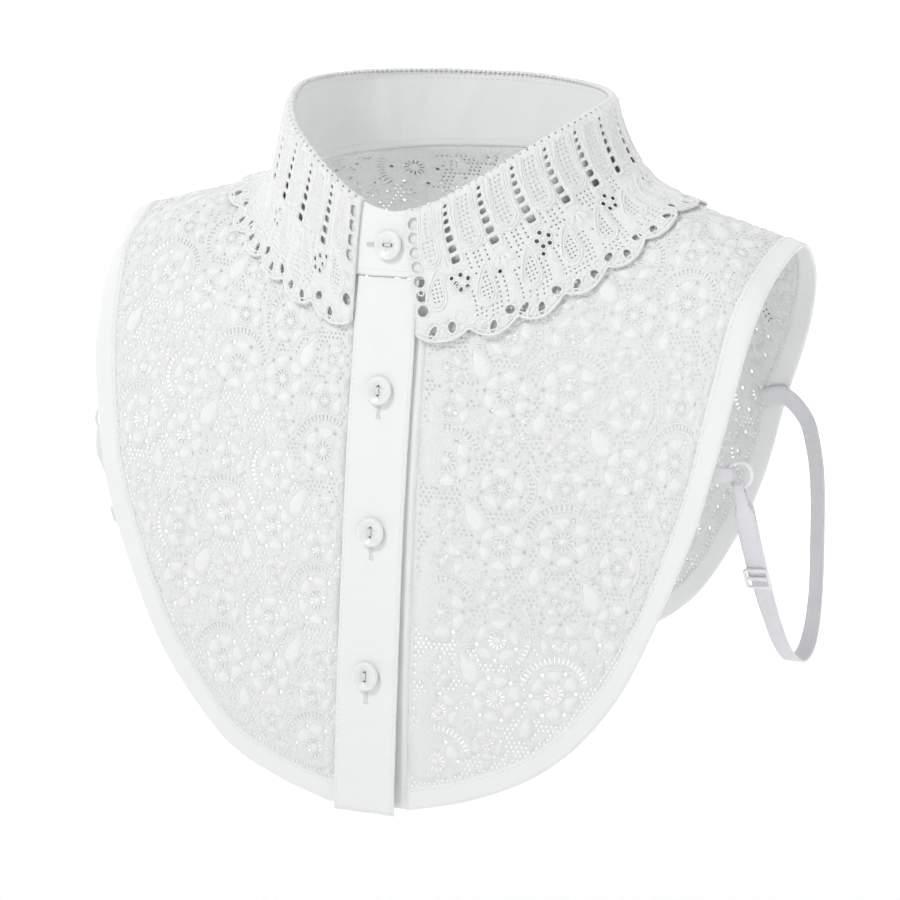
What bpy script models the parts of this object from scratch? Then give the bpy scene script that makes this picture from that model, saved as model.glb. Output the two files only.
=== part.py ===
"""A detachable lace shirt collar, in the form it keeps when worn: two lace fronts and a lace back
that hang from the shoulders, a plain stand with a folded lace collar, a button placket, a bound hem
and an adjustable elastic strap at each side.

The wearer faces -Y and +X is the wearer's left. The origin is the middle of the neck, level with the
top of the shoulder slope. All sizes below are in millimetres and become metres in add_solid().
"""

import functools
import math

import bmesh
import bpy
import numpy as np
from mathutils import Vector, geometry

for old_object in list(bpy.data.objects):
    bpy.data.objects.remove(old_object)

METRE = 0.001

# Walls of the cloth and the gap that is left at each seam
LACE_WALL = 1.2
COTTON_WALL = 1.6
BINDING_WALL = 2.0
LEAF_WALL = 1.4
STAND_WALL = 2.0
SEAM_GAP = 0.3

# Fronts and back
BINDING_WIDTH = 9.0
PLACKET_HALF = 14.0
FLAT_FRONT = 18.5  # how far from centre front the cloth stays flat, under and beside the placket
PLACKET_OVERHANG = 2.5
UNDER_PLACKET_SHIFT = 4.2
PLACKET_LIFT = 1.25  # from the cloth's own surface to the middle of the placket
PLACKET_FLARE = 1.6  # more lift at the free lower end

# Neck: the seam where the stand joins the cloth, and the fold line at the top of the stand
NECK_HALF_WIDTH = 75.0
NECK_FRONT = 59.0
NECK_BACK = 60.0
FOLD_HALF_WIDTH = {1: 66.5, -1: 72.5}  # 1 is the wearer's left and -1 the right
FOLD_FRONT = 54.0
FOLD_BACK = 62.0
STAND_LAP_ANGLE = 12.0  # how far each end of the stand passes centre front
STAND_LAP_STEP = 1.25
STAND_BELLY = 0.3
STAND_CORNER = 7.0  # radius of the upper corner at each end
NECK_ROUNDING = 45.0  # how far below the neck seam the flat front takes up the neck's curve

# Heights round the neck, from centre front (0 degrees) by the shoulder (90) to centre back (180).
# The wearer's left side of the fold sits a little lower than the right.
NECK_HEIGHTS = (
    # angle, seam z, left fold z, right fold z
    (0.0, -49.0, -23.5, -23.5),
    (11.0, -48.8, -21.5, -20.0),
    (25.0, -46.0, -13.5, -10.5),
    (40.0, -39.5, -3.4, 0.0),
    (58.0, -29.5, 6.5, 9.5),
    (72.0, -22.0, 12.5, 16.5),
    (90.0, -15.5, 17.5, 22.5),
    (110.0, -10.5, 19.4, 24.6),
    (130.0, -8.0, 21.0, 25.2),
    (150.0, -6.6, 22.4, 25.2),
    (180.0, -6.0, 24.5, 24.5),
)

# Lines that run down the cloth from the neck seam to the hem, from centre front round the wearer's
# left shoulder to centre back. A turn is measured from straight ahead and a dip from the level.
CLOTH_LINES = (
    # neck angle, hem x, hem y, hem z, leaving turn, leaving dip, arriving turn, arriving dip
    (0.0, 0.0, -80.0, -268.0, 0, 78, 0, 88),
    (14.3, 18.5, -80.0, -266.5, 0, 78, 0, 88),
    (27.0, 46.0, -75.0, -260.0, 14, 75, 10, 86),
    (38.0, 76.0, -69.5, -246.0, 26, 69, 16, 84),
    (49.0, 101.0, -65.0, -221.0, 38, 61, 22, 82),
    (59.0, 121.0, -62.5, -186.0, 50, 52, 28, 80),
    (68.0, 136.5, -60.0, -146.0, 61, 42, 36, 78),
    (76.0, 147.0, -52.0, -101.0, 72, 32, 45, 74),
    (83.0, 151.5, -34.0, -62.0, 82, 17, 62, 62),
    (86.5, 153.8, -14.0, -43.0, 87, 13, 78, 34),
    (90.0, 156.0, 6.0, -34.5, 91, 12, 92, 20),
    (97.0, 154.5, 22.0, -45.5, 98, 13, 108, 40),
    (106.0, 148.5, 36.0, -62.0, 108, 20, 122, 62),
    (117.0, 140.0, 46.0, -83.0, 118, 27, 132, 70),
    (128.0, 128.5, 52.5, -110.0, 129, 34, 142, 76),
    (140.0, 117.0, 57.5, -143.5, 141, 42, 152, 80),
    (152.0, 101.0, 62.0, -174.5, 153, 50, 162, 84),
    (162.0, 79.0, 65.0, -202.0, 163, 57, 170, 87),
    (171.0, 44.0, 67.0, -221.0, 172, 62, 175, 88),
    (180.0, 0.0, 68.0, -227.0, 180, 64, 180, 89),
)
SHOULDER_LINE = 10  # the row of the shoulder seam
LAST_LINE = len(CLOTH_LINES) - 1

# Soft folds of the hanging cloth: each swells out, or in where its height is negative
CLOTH_FOLDS = (
    # side (1 wearer's left), middle line, half width in lines, height, share of the way down it starts
    (-1, 2.6, 0.9, 1.6, 0.45),
    (-1, 6.6, 0.8, -2.0, 0.45),
    (-1, 4.4, 1.0, 1.6, 0.35),
    (1, 2.4, 0.8, 1.6, 0.50),
    (1, 5.2, 1.1, 1.8, 0.40),
    (1, 7.2, 0.7, -1.4, 0.50),
    (1, 14.5, 1.0, 1.8, 0.45),
    (-1, 14.0, 1.0, 1.6, 0.45),
    (1, 17.6, 0.9, -1.6, 0.50),
    (-1, 17.2, 0.9, 1.6, 0.50),
)

# Folded collar leaf: its pattern repeats between one ladder of openings and the next
REPEATS_A_SIDE = 13
LEAF_START = {1: 6.5, -1: 14.5}  # from centre front to the leaf's front edge, round the fold
LEAF_START_BELOW = {1: 14.5, -1: 14.5}  # and round the cloth below
FIRST_REPEAT = (17.0, 24.0)  # the front repeat is wider: its width at the fold and on the cloth
LEAF_LENGTHS = (
    # repeats from the front edge, length on the wearer's left, on the right
    (0.0, 58.0, 56.5),
    (0.5, 58.5, 57.0),
    (1.5, 64.5, 59.5),
    (2.5, 67.0, 60.0),
    (4.0, 66.5, 61.0),
    (13.0, 63.0, 63.0),
)
LEAF_RING = 40.0  # how far below the neck seam the repeats are spaced evenly
LEAF_LANDING = (
    # angle, distance below the neck seam where the leaf comes to lie on the cloth, height above it,
    # how much more than the stand it leans out below the fold on the wearer's left, on the right
    (0.0, 26.0, 4.4, 0.04, 0.06),
    (20.0, 25.0, 4.0, 0.04, 0.14),
    (45.0, 23.0, 3.0, 0.04, 0.30),
    (90.0, 21.0, 2.6, 0.04, 0.48),
    (180.0, 20.0, 2.6, 0.10, 0.10),
)
LEAF_SEAM = 12.5  # the repeat, next to centre back, where the two parts of the leaf meet
CROWN = (
    # where the leaf bends over the stand: distance outwards from the fold line, height above the crown
    (-0.7, 0.0),
    (0.9, 0.0),
    (2.7, -1.2),
    (3.4, -4.05),
)
CROWN_RISE = 1.7  # from the fold line up to the middle of the leaf's wall
CROWN_ROWS = (1.6, 3.4, 5.2)  # distances from the inner edge of the leaf, down that bend
EVEN_ROWS = (12.0, 18.0, 36.0, 44.0)  # and further rows of corners in the plain stretches
SCALLOP_DEPTH = 4.8
LADDER_WINDOWS = (
    # distance from the fold, width, height
    (19.2, 4.1, 3.4),
    (23.6, 4.5, 3.5),
    (28.1, 4.8, 3.6),
)
PICOT_WIDTH = 4.6
PICOT_HEIGHT = 4.9
PICOT_FIRST = 8.0
PICOT_PITCH = 6.0
EYELETS_A_SCALLOP = 4
EYELET_WIDTH = 3.2
EYELET_LENGTH = 4.8
EYELET_CENTRE = 13.5  # from the peak of a scallop up to the middle of its fan of eyelets
EYELET_RADIUS = 9.4
EYELET_TURN = 31.0  # degrees from one eyelet of the fan to the next

# Buttons on the placket, as distances below the neck seam, and the one on the stand
BUTTON_RADIUS = 6.0
BUTTON_WALL = 2.2
BUTTON_RIM = 0.5
BUTTON_HOLE_RADIUS = 0.8
BUTTON_HOLE_APART = 3.2
PLACKET_BUTTONS = (47.5, 105.5, 165.0)
NECK_BUTTON_Z = -36.5

# Elastic straps with a ring and a slider
BAND_WIDTH = 8.2
BAND_WALL = 1.0
BAND_AT_RING = 4.4  # the band is gathered where it passes through the ring
WRAP_RADIUS = 2.2  # from the ring's wire to the middle of the band wrapped round it
LAYERS_APART = 1.5  # between the middles of the two layers where the strap is doubled
RING_RADIUS = 5.2  # to the middle of its wire
RING_WIRE = 0.8
RING_PLACE = (148.6, -42.5, -121.6)
RING_TURN = 18.0  # of the ring's face from straight ahead
SLIDER_WIDTH = 11.0
SLIDER_HEIGHT = 9.5
SLIDER_WIRE = 1.5
SLIDER_ROW = 2  # the row of the route where the slider sits
TAB_WIDTH = 7.2
TAB_SEWN = (6.2, 18.0, 0.3)  # as STRAP_END, for the ring's tab inside the front
TAB_EDGE = (6.57, 0.5, 0.4)
STRAP_ROUTE = (
    # x, y, z, turn of the band's width from sideways
    (149.2, -39.6, -131.5, 18),
    (150.2, -35.0, -145.5, 16),
    (152.0, -28.0, -164.5, 10),
    (153.6, -19.5, -182.5, -4),
    (154.6, -8.0, -198.5, -10),
    (155.6, 4.0, -206.0, -4),
    (156.6, 14.5, -200.5, -16),
    (156.2, 22.5, -184.0, -26),
    (153.8, 30.0, -161.0, -26),
    (150.4, 37.5, -137.0, -26),
    (146.0, 42.5, -121.5, -26),
    (140.5, 46.6, -111.8, -26),
)
STRAP_END = (
    # where the strap lies inside the back: cloth line, distance up from the hem, extra clearance
    (13.8, 0.5, 1.0),
    (14.5, 20.0, 0.6),
)
HIDDEN_STRAP_INWARD = 9.0  # the wearer's right strap hangs nearer the body


def smooth_step(share):
    share = min(max(share, 0.0), 1.0)
    return share * share * (3 - 2 * share)


def read_table(table, at, column):
    """A value of a table, read between its rows by the first column."""
    return float(np.interp(at, [row[0] for row in table], [row[column] for row in table]))


def smooth_table(table, at, column):
    """As read_table, through a smooth curve."""
    keys = [row[0] for row in table]
    row = min(max(np.searchsorted(keys, at) - 1, 0), len(keys) - 2)
    share = (at - keys[row]) / (keys[row + 1] - keys[row])
    four = [table[min(max(row + step, 0), len(keys) - 1)][column] for step in (-1, 0, 1, 2)]
    return through_four(four, share)


def through_four(values, share):
    """The Catmull-Rom curve between the middle two of four values."""
    before, first, second, after = (np.asarray(value, float) for value in values)
    linear = second - before
    square = 2 * before - 5 * first + 4 * second - after
    cube = 3 * (first - second) + after - before
    return 0.5 * (2 * first + linear * share + square * share**2 + cube * share**3)


def unit(vector):
    return vector / np.linalg.norm(vector)


def heading(turn, dip):
    """A direction that turns from straight ahead (-Y) towards +X, and dips below the level."""
    turn, dip = math.radians(turn), math.radians(dip)
    return np.array([math.sin(turn) * math.cos(dip), -math.cos(turn) * math.cos(dip), -math.sin(dip)])


def ring_point(angle, half_width, front, back, z):
    turn = math.radians(angle)
    depth = front if math.cos(turn) > 0 else back
    return np.array([half_width * math.sin(turn), -depth * math.cos(turn), z])


def neck_point(angle):
    z = float(smooth_table(NECK_HEIGHTS, min(abs(angle), 180.0), 1))
    return ring_point(angle, NECK_HALF_WIDTH, NECK_FRONT, NECK_BACK, z)


def fold_point(angle, side):
    """A point of the fold line on the left half; the right one is its mirror with its own height."""
    z = float(smooth_table(NECK_HEIGHTS, min(abs(angle), 180.0), 2 if side > 0 else 3))
    width = FOLD_HALF_WIDTH[side] + (70.0 - FOLD_HALF_WIDTH[side]) * smooth_step((angle - 120) / 60)
    return ring_point(angle, width, FOLD_FRONT, FOLD_BACK, z)


def line_row(row):
    """A row of CLOTH_LINES, continued past centre front and centre back by symmetry."""
    if row < 0:
        angle, x, y, z, *turns = CLOTH_LINES[-row]
        return np.array([-angle, -x, y, z, -turns[0], turns[1], -turns[2], turns[3]])
    if row > LAST_LINE:
        angle, x, y, z, *turns = CLOTH_LINES[2 * LAST_LINE - row]
        return np.array([360 - angle, -x, y, z, 360 - turns[0], turns[1], 360 - turns[2], turns[3]])
    return np.array(CLOTH_LINES[row], float)


@functools.lru_cache(maxsize=None)
def cloth_line(line):
    """Points down the cloth at a line number, which may lie between two rows, and their distances."""
    if abs(line) < 1:
        points, along = cloth_line(1.0)
        angle = math.degrees(math.asin(FLAT_FRONT * abs(line) / NECK_HALF_WIDTH))
        rounding = neck_point(angle) - neck_point(CLOTH_LINES[1][0])
        fade = np.array([1 - smooth_step(distance / NECK_ROUNDING) for distance in along])
        shifted = points + rounding * fade[:, None]
        shifted[:, 0] = FLAT_FRONT * line
        return shifted, along
    row = math.floor(line)
    values = through_four([line_row(row + step) for step in (-1, 0, 1, 2)], line - row)
    if 1 <= line < 2:
        values = through_four([2 * line_row(1) - line_row(2), *map(line_row, (1, 2, 3))], line - row)
    start = neck_point(values[0])
    end = values[1:4]
    reach = np.linalg.norm(end - start)
    leave = heading(values[4], values[5]) * reach
    arrive = heading(values[6], values[7]) * reach
    s = np.linspace(0, 1, 49)[:, None]
    points = (
        (2 * s**3 - 3 * s**2 + 1) * start
        + (s**3 - 2 * s**2 + s) * leave
        + (3 * s**2 - 2 * s**3) * end
        + (s**3 - s**2) * arrive
    )
    steps = np.linalg.norm(np.diff(points, axis=0), axis=1)
    return points, np.concatenate([[0.0], np.cumsum(steps)])


def cloth_length(line):
    return float(cloth_line(round(line, 4))[1][-1])


def bare_point(line, along):
    """A point of the cloth before its folds, along being the distance below the neck seam."""
    points, distances = cloth_line(round(line, 4))
    return np.array([np.interp(along, distances, points[:, axis]) for axis in range(3)])


def fold_height(side, line, along):
    share = along / cloth_length(line)
    total = 0.0
    for fold_side, middle, half_width, height, begins in CLOTH_FOLDS:
        across = abs(line - middle) / half_width
        if fold_side == side and across < 1:
            down = smooth_step((share - begins) / (1 - begins))
            total += height * down * math.cos(across * math.pi / 2) ** 2
    return total


def on_cloth(side, line, along):
    """A point of the cloth and its outward direction. Side is 1 for the wearer's left, -1 for the right."""
    point = bare_point(line, along)
    across = bare_point(line + 0.05, along) - bare_point(line - 0.05, along)
    top = max(along - 1.5, 0.0)
    down = bare_point(line, top + 3.0) - bare_point(line, top)
    if along > cloth_length(line) - 3.0:
        down = bare_point(line, along) - bare_point(line, along - 3.0)
    outward = unit(np.cross(down, across))
    point = point + outward * fold_height(side, line, along)
    flip = np.array([side, 1, 1])
    return point * flip, outward * flip


def line_at_angle(angle):
    """The line number that starts at an angle of the neck."""
    if angle < CLOTH_LINES[1][0]:
        return NECK_HALF_WIDTH * math.sin(math.radians(angle)) / FLAT_FRONT
    return float(np.interp(angle, [row[0] for row in CLOTH_LINES], range(len(CLOTH_LINES))))


def make_material(name, colour, roughness, metallic=0.0):
    material = bpy.data.materials.new(name)
    material.use_nodes = True
    shader = material.node_tree.nodes["Principled BSDF"]
    shader.inputs["Base Color"].default_value = (*colour, 1.0)
    shader.inputs["Roughness"].default_value = roughness
    shader.inputs["Metallic"].default_value = metallic
    material.diffuse_color = (*colour, 1.0)
    return material


LACE = make_material("white_corded_lace", (0.86, 0.87, 0.86), 0.85)
GUIPURE = make_material("white_guipure_lace", (0.87, 0.88, 0.87), 0.8)
COTTON = make_material("white_cotton_poplin", (0.88, 0.89, 0.88), 0.8)
ELASTIC = make_material("white_elastic_webbing", (0.84, 0.83, 0.87), 0.7)
PLASTIC = make_material("white_moulded_plastic", (0.88, 0.88, 0.88), 0.35)


def add_solid(name, points, faces, material, smooth=True):
    """One closed body. Points are in millimetres."""
    mesh = bpy.data.meshes.new(name)
    mesh.from_pydata([tuple(np.asarray(point) * METRE) for point in points], [], faces)
    shape = bmesh.new()
    shape.from_mesh(mesh)
    bmesh.ops.recalc_face_normals(shape, faces=shape.faces)
    shape.to_mesh(mesh)
    shape.free()
    if smooth:
        mesh.shade_smooth()
        mesh.set_sharp_from_angle(angle=math.radians(40))
    mesh.materials.append(material)
    solid = bpy.data.objects.new(name, mesh)
    bpy.context.scene.collection.objects.link(solid)
    return solid


def add_wall(name, placed, faces, wall, material):
    """A wall of cloth: each placed point, with its outward direction, gives an outer and an inner
    point, and the open edges are closed all round."""
    count = len(placed)
    outer = [point + outward * wall / 2 for point, outward in placed]
    inner = [point - outward * wall / 2 for point, outward in placed]
    uses = {}
    for face in faces:
        for start, end in zip(face, (*face[1:], face[0])):
            uses.setdefault(frozenset((start, end)), []).append((start, end))
    rim = [edge[0] for edge in uses.values() if len(edge) == 1]
    solid_faces = [tuple(face) for face in faces]
    solid_faces += [tuple(count + corner for corner in reversed(face)) for face in faces]
    solid_faces += [(end, start, count + start, count + end) for start, end in rim]
    return add_solid(name, outer + inner, solid_faces, material)


def grid_faces(columns, rows):
    return [
        (c * rows + r, (c + 1) * rows + r, (c + 1) * rows + r + 1, c * rows + r + 1)
        for c in range(columns - 1)
        for r in range(rows - 1)
    ]


def cloth_strip(name, sides_lines, span, rows, wall, material):
    """A wall on the cloth. Each of its columns has a side and a line; span(line) gives the distances
    from the neck seam between which it runs."""
    placed = []
    for side, line in sides_lines:
        start, end = span(line)
        placed += [on_cloth(side, line, start + (end - start) * share) for share in np.linspace(0, 1, rows)]
    add_wall(name, placed, grid_faces(len(sides_lines), rows), wall, material)


def gap_in_lines(line):
    """Half a seam's gap, as a share of the step between two lines at mid height."""
    middle = cloth_length(line) / 2
    step = np.linalg.norm(bare_point(line + 0.5, middle) - bare_point(line - 0.5, middle))
    return SEAM_GAP / 2 / step


@functools.lru_cache(maxsize=None)
def hem_slant(line):
    """How squarely a cloth line meets the hem: 1 where it meets it at a right angle."""
    length = cloth_length(line)
    down = unit(bare_point(line, length) - bare_point(line, length - 6.0))
    near = [bare_point(line + step, cloth_length(line + step)) for step in (-0.1, 0.1)]
    along_hem = unit(near[1] - near[0])
    return max(float(np.linalg.norm(np.cross(down, along_hem))), 0.35)


def lace_span(line):
    return SEAM_GAP, cloth_length(line) - (BINDING_WIDTH + SEAM_GAP) / hem_slant(line)


def binding_span(line):
    return cloth_length(line) - BINDING_WIDTH / hem_slant(line), cloth_length(line)


def build_fronts():
    """Each front runs from the placket to the shoulder seam."""
    right_start = (PLACKET_HALF + SEAM_GAP) / FLAT_FRONT
    left_start = 1.0
    shoulder = SHOULDER_LINE - gap_in_lines(SHOULDER_LINE)
    for side, name, start in ((1, "left", left_start), (-1, "right", right_start)):
        columns = [(side, line) for line in (start, *np.linspace(1.5, shoulder, 22))]
        cloth_strip(f"lace_front_{name}", columns, lace_span, 9, LACE_WALL, LACE)
        cloth_strip(f"binding_front_{name}", columns, binding_span, 2, BINDING_WALL, COTTON)


def back_line(share):
    """The side and line of a column of the back, from the wearer's left shoulder to the right one."""
    shoulder = SHOULDER_LINE + gap_in_lines(SHOULDER_LINE)
    spread = LAST_LINE - shoulder
    if share <= 0.5:
        return 1, shoulder + spread * 2 * share
    return -1, LAST_LINE - spread * (2 * share - 1)


def build_back():
    columns = [back_line(share) for share in np.linspace(0, 1, 39)]
    cloth_strip("lace_back", columns, lace_span, 8, LACE_WALL, LACE)
    cloth_strip("binding_back", columns, binding_span, 2, BINDING_WALL, COTTON)


def placket_lift(along):
    flare = smooth_step((along / cloth_length(1.0) - 0.55) / 0.45)
    return PLACKET_LIFT + PLACKET_FLARE * flare


def build_plackets():
    """The buttoned band of the right front lies over the band of the left front."""
    length = cloth_length(1.0)
    half = PLACKET_HALF / FLAT_FRONT

    def top_span(line):
        return SEAM_GAP, length + PLACKET_OVERHANG

    def under_span(line):
        return SEAM_GAP, length

    def strip(name, first, last, span, lift):
        placed = []
        for line in np.linspace(first, last, 3):
            start, end = span(line)
            for along in np.linspace(start, end, 11):
                point, outward = on_cloth(1, line, min(along, length))
                beyond = max(along - length, 0.0)
                point = point + outward * lift(along) - np.array([0, 0, beyond])
                placed.append((point, outward))
        add_wall(name, placed, grid_faces(3, 11), COTTON_WALL, COTTON)

    strip("placket_top", -half, half, top_span, placket_lift)
    under_last = 1.0 - SEAM_GAP / FLAT_FRONT
    under_first = under_last - 2 * (PLACKET_HALF - UNDER_PLACKET_SHIFT / 2) / FLAT_FRONT
    strip("placket_under", under_first, under_last, under_span, lambda along: -PLACKET_LIFT)


def stand_columns():
    """Angles round the stand, measured from centre back, past centre front at both ends."""
    end = 180 + STAND_LAP_ANGLE
    sides = np.linspace(0, 132, 15)
    lap = np.linspace(140, end, 8)
    half = [*sides, *lap]
    return [-angle for angle in reversed(half[1:])] + half


def stand_step(angle):
    """How far the stand moves in or out of the neck ring, so that one end passes over the other."""
    ramp = smooth_step((abs(angle) - 128) / 34)
    return -math.copysign(STAND_LAP_STEP, angle) * ramp


def stand_seam_rise(angle):
    """The stand's lower edge clears the top of the cloth, which leaves flatter at the shoulder."""
    line = line_at_angle(min(angle, 180.0))
    dip = np.interp(line, range(len(CLOTH_LINES)), [row[5] for row in CLOTH_LINES])
    over_placket = 0.45 * (1 - smooth_step((angle - 16) / 8))
    return SEAM_GAP * 0.8 + over_placket + LACE_WALL * 0.62 * math.cos(math.radians(dip))


def build_stand():
    """A band round the neck, with rounded upper corners where its ends lap at the front."""
    placed = []
    end = 180 + STAND_LAP_ANGLE
    rows = 4
    for angle in stand_columns():
        front_angle = 180 - abs(angle)
        side = math.copysign(1, angle)
        seam = neck_point(front_angle) * (side, 1, 1)
        fold = fold_point(front_angle, int(side)) * (side, 1, 1)
        seam[2] += stand_seam_rise(max(front_angle, 0))
        outward = unit(np.array([seam[0] / NECK_HALF_WIDTH**2, seam[1] / NECK_FRONT**2, 0.0]))
        to_end = math.radians(end - abs(angle)) * FOLD_FRONT
        if to_end < STAND_CORNER:
            fold[2] -= STAND_CORNER - math.sqrt(max(STAND_CORNER**2 - (STAND_CORNER - to_end) ** 2, 0))
        across = np.array([-outward[1], outward[0], 0.0])
        outward = unit(np.cross(across, unit(fold - seam)))
        for share in np.linspace(0, 1, rows):
            belly = STAND_BELLY * math.sin(share * math.pi)
            point = seam + (fold - seam) * share + outward * (belly + stand_step(angle))
            placed.append((point, outward))
    add_wall("collar_stand", placed, grid_faces(len(stand_columns()), rows), STAND_WALL, COTTON)


def leaf_profile(side, angle, line):
    """The collar leaf's run from a fold angle to a line of the cloth: over the top of the stand, down
    its outside and on to the cloth. Points, and their distances from the fold's inner edge."""
    fold = fold_point(angle, side)
    outward = unit(np.array([fold[0] / FOLD_HALF_WIDTH[side] ** 2, fold[1] / FOLD_FRONT**2, 0.0]))
    up = np.array([0, 0, 1.0])
    lap_from, lap_over = (18, 34) if side < 0 else (12, 12)
    lap = STAND_LAP_STEP * (1 - smooth_step((angle - lap_from) / lap_over))
    fold = fold + outward * lap
    lean = read_table(LEAF_LANDING, angle, 3 if side > 0 else 4)
    seam = neck_point(angle)
    begin_run = unit(unit(seam - fold_point(angle, side)) + outward * lean)
    crown = [fold + outward * out + up * (CROWN_RISE + height) for out, height in CROWN]
    landing = read_table(LEAF_LANDING, angle, 1)
    height = read_table(LEAF_LANDING, angle, 2)
    seat, seat_out = on_cloth(1, line, landing)
    seat = seat + seat_out * height
    seat_run = unit(bare_point(line, landing + 2) - bare_point(line, landing - 2))
    start = crown[-1]
    reach = np.linalg.norm(seat - start)
    run = []
    for s in np.linspace(0, 1, 15)[1:]:
        run.append(
            (2 * s**3 - 3 * s**2 + 1) * start
            + (s**3 - 2 * s**2 + s) * begin_run * reach
            + (3 * s**2 - 2 * s**3) * seat
            + (s**3 - s**2) * seat_run * reach * 0.8
        )
    rest = []
    for step in np.arange(3.0, 60.0, 3.0):
        point, point_out = on_cloth(1, line, landing + step)
        rest.append(point + point_out * height)
    points = np.array([*crown, *run, *rest]) * (side, 1, 1)
    steps = np.linalg.norm(np.diff(points, axis=0), axis=1)
    return points, np.concatenate([[0.0], np.cumsum(steps)])


@functools.lru_cache(maxsize=None)
def repeat_spacing(side):
    """Fold angles and cloth lines, and which repeat each one lies at, counted from the front edge."""
    angles = np.linspace(0, 180, 181)
    folds = np.array([fold_point(angle, side) for angle in angles])
    lines = np.linspace(0, LAST_LINE, 20 * LAST_LINE + 1)
    below = np.array([bare_point(line, LEAF_RING) for line in lines])
    repeats = []
    starts = (LEAF_START[side], LEAF_START_BELOW[side])
    for places, start, first in zip((folds, below), starts, FIRST_REPEAT):
        steps = np.linalg.norm(np.diff(places, axis=0), axis=1)
        length = np.concatenate([[0.0], np.cumsum(steps)])
        marks = (0.0, start, start + first, length[-1])
        repeats.append(np.interp(length, marks, (-start / first, 0, 1, REPEATS_A_SIDE)))
    return angles, repeats[0], lines, repeats[1]


def leaf_side(repeat):
    """Repeats are counted from the wearer's left front edge round the back to the right one."""
    if repeat <= REPEATS_A_SIDE:
        return 1, repeat
    return -1, 2 * REPEATS_A_SIDE - repeat


@functools.lru_cache(maxsize=None)
def leaf_line(repeat):
    side, from_front = leaf_side(repeat)
    angles, fold_repeats, lines, line_repeats = repeat_spacing(side)
    angle = float(np.interp(from_front, fold_repeats, angles))
    line = float(np.interp(from_front, line_repeats, lines))
    return leaf_profile(side, angle, line)


def leaf_point(repeat, along):
    points, distances = leaf_line(round(min(max(repeat, 0.0), 2 * REPEATS_A_SIDE), 4))
    return np.array([np.interp(along, distances, points[:, axis]) for axis in range(3)])


def on_leaf(repeat, along):
    across = leaf_point(repeat + 0.1, along) - leaf_point(repeat - 0.1, along)
    top = max(along - 0.8, 0.0)
    down = leaf_point(repeat, top + 1.6) - leaf_point(repeat, top)
    return leaf_point(repeat, along), unit(np.cross(down, across))


def leaf_depth(repeat):
    """The length of the leaf at the peak of its scallops."""
    side, from_front = leaf_side(repeat)
    return read_table(LEAF_LENGTHS, from_front, 1 if side > 0 else 2)


def leaf_hem(repeat):
    """Scalloped hem: the distance from the fold at any repeat, with a peak in each middle."""
    wave = abs(math.sin(math.pi * repeat)) ** 0.75
    return leaf_depth(repeat) - SCALLOP_DEPTH * (1 - wave)


def leaf_pitch(repeat, along):
    """The width of one repeat at a distance from the fold."""
    middle = min(max(repeat, 0.5), 2 * REPEATS_A_SIDE - 0.5)
    return float(np.linalg.norm(leaf_point(middle + 0.5, along) - leaf_point(middle - 0.5, along)))


def leaf_outline(first, last):
    """Corners of a part of the leaf, in repeats and millimetres from the fold, in order."""

    def off_seam(repeat, along):
        if repeat != LEAF_SEAM:
            return repeat, along
        way = 1 if first == LEAF_SEAM else -1
        return repeat + way * SEAM_GAP / 2 / leaf_pitch(repeat, along), along

    def edge(repeat):
        rows = (*CROWN_ROWS, *np.arange(13, leaf_hem(repeat) - 3, 8))
        return [(repeat, along) for along in rows]

    steps = round(6 * (last - first))
    top = [(repeat, 0.0) for repeat in np.arange(first, last + 0.25, 0.5)]
    hem = [(repeat, leaf_hem(repeat)) for repeat in np.linspace(last, first, steps + 1)]
    return [off_seam(*corner) for corner in (*top, *edge(last), *hem, *reversed(edge(first)))]


def leaf_holes():
    """The corners of every opening of the leaf that is over 4 mm long."""
    holes = []
    last = 2 * REPEATS_A_SIDE
    for ladder in range(1, last):
        for along, width, height in LADDER_WINDOWS:
            half = width / 2 / leaf_pitch(ladder, along)
            corners = ((-half, -1), (half, -1), (half, 1), (-half, 1))
            holes.append([(ladder + dx, along + dy * height / 2) for dx, dy in corners])
    for front, inwards in ((0, 1), (last, -1)):
        lowest = leaf_hem(front) - PICOT_HEIGHT / 2 - 1.2
        for along in np.arange(PICOT_FIRST, lowest, PICOT_PITCH):
            pitch = leaf_pitch(front, along)
            middle = front + inwards * (1.0 + PICOT_WIDTH / 2) / pitch
            half = PICOT_WIDTH / 2 / pitch
            corners = ((-half, 0), (0, -1), (half, 0), (0, 1))
            holes.append([(middle + dx, along + dy * PICOT_HEIGHT / 2) for dx, dy in corners])
    for scallop in range(last):
        centre = scallop + 0.5
        start = leaf_depth(centre) - EYELET_CENTRE
        pitch = leaf_pitch(centre, start)
        for number in range(EYELETS_A_SCALLOP):
            turn = math.radians((number - (EYELETS_A_SCALLOP - 1) / 2) * EYELET_TURN)
            out = np.array([math.sin(turn), math.cos(turn)])
            side = np.array([out[1], -out[0]])
            middle = out * EYELET_RADIUS
            long, wide = out * EYELET_LENGTH / 2, side * EYELET_WIDTH / 2
            if (scallop == 0 and number == 0) or (scallop == last - 1 and number == EYELETS_A_SCALLOP - 1):
                continue
            ring = (middle - long, middle + wide, middle + long, middle - wide)
            holes.append([(centre + corner[0] / pitch, start + corner[1]) for corner in ring])
    return holes


def inside(corners, place):
    """Whether a place is inside a closed outline, by counting the edges it crosses."""
    within = False
    for (ax, ay), (bx, by) in zip(corners, corners[1:] + corners[:1]):
        if (ay > place[1]) != (by > place[1]) and place[0] < (bx - ax) * (place[1] - ay) / (by - ay) + ax:
            within = not within
    return within


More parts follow.
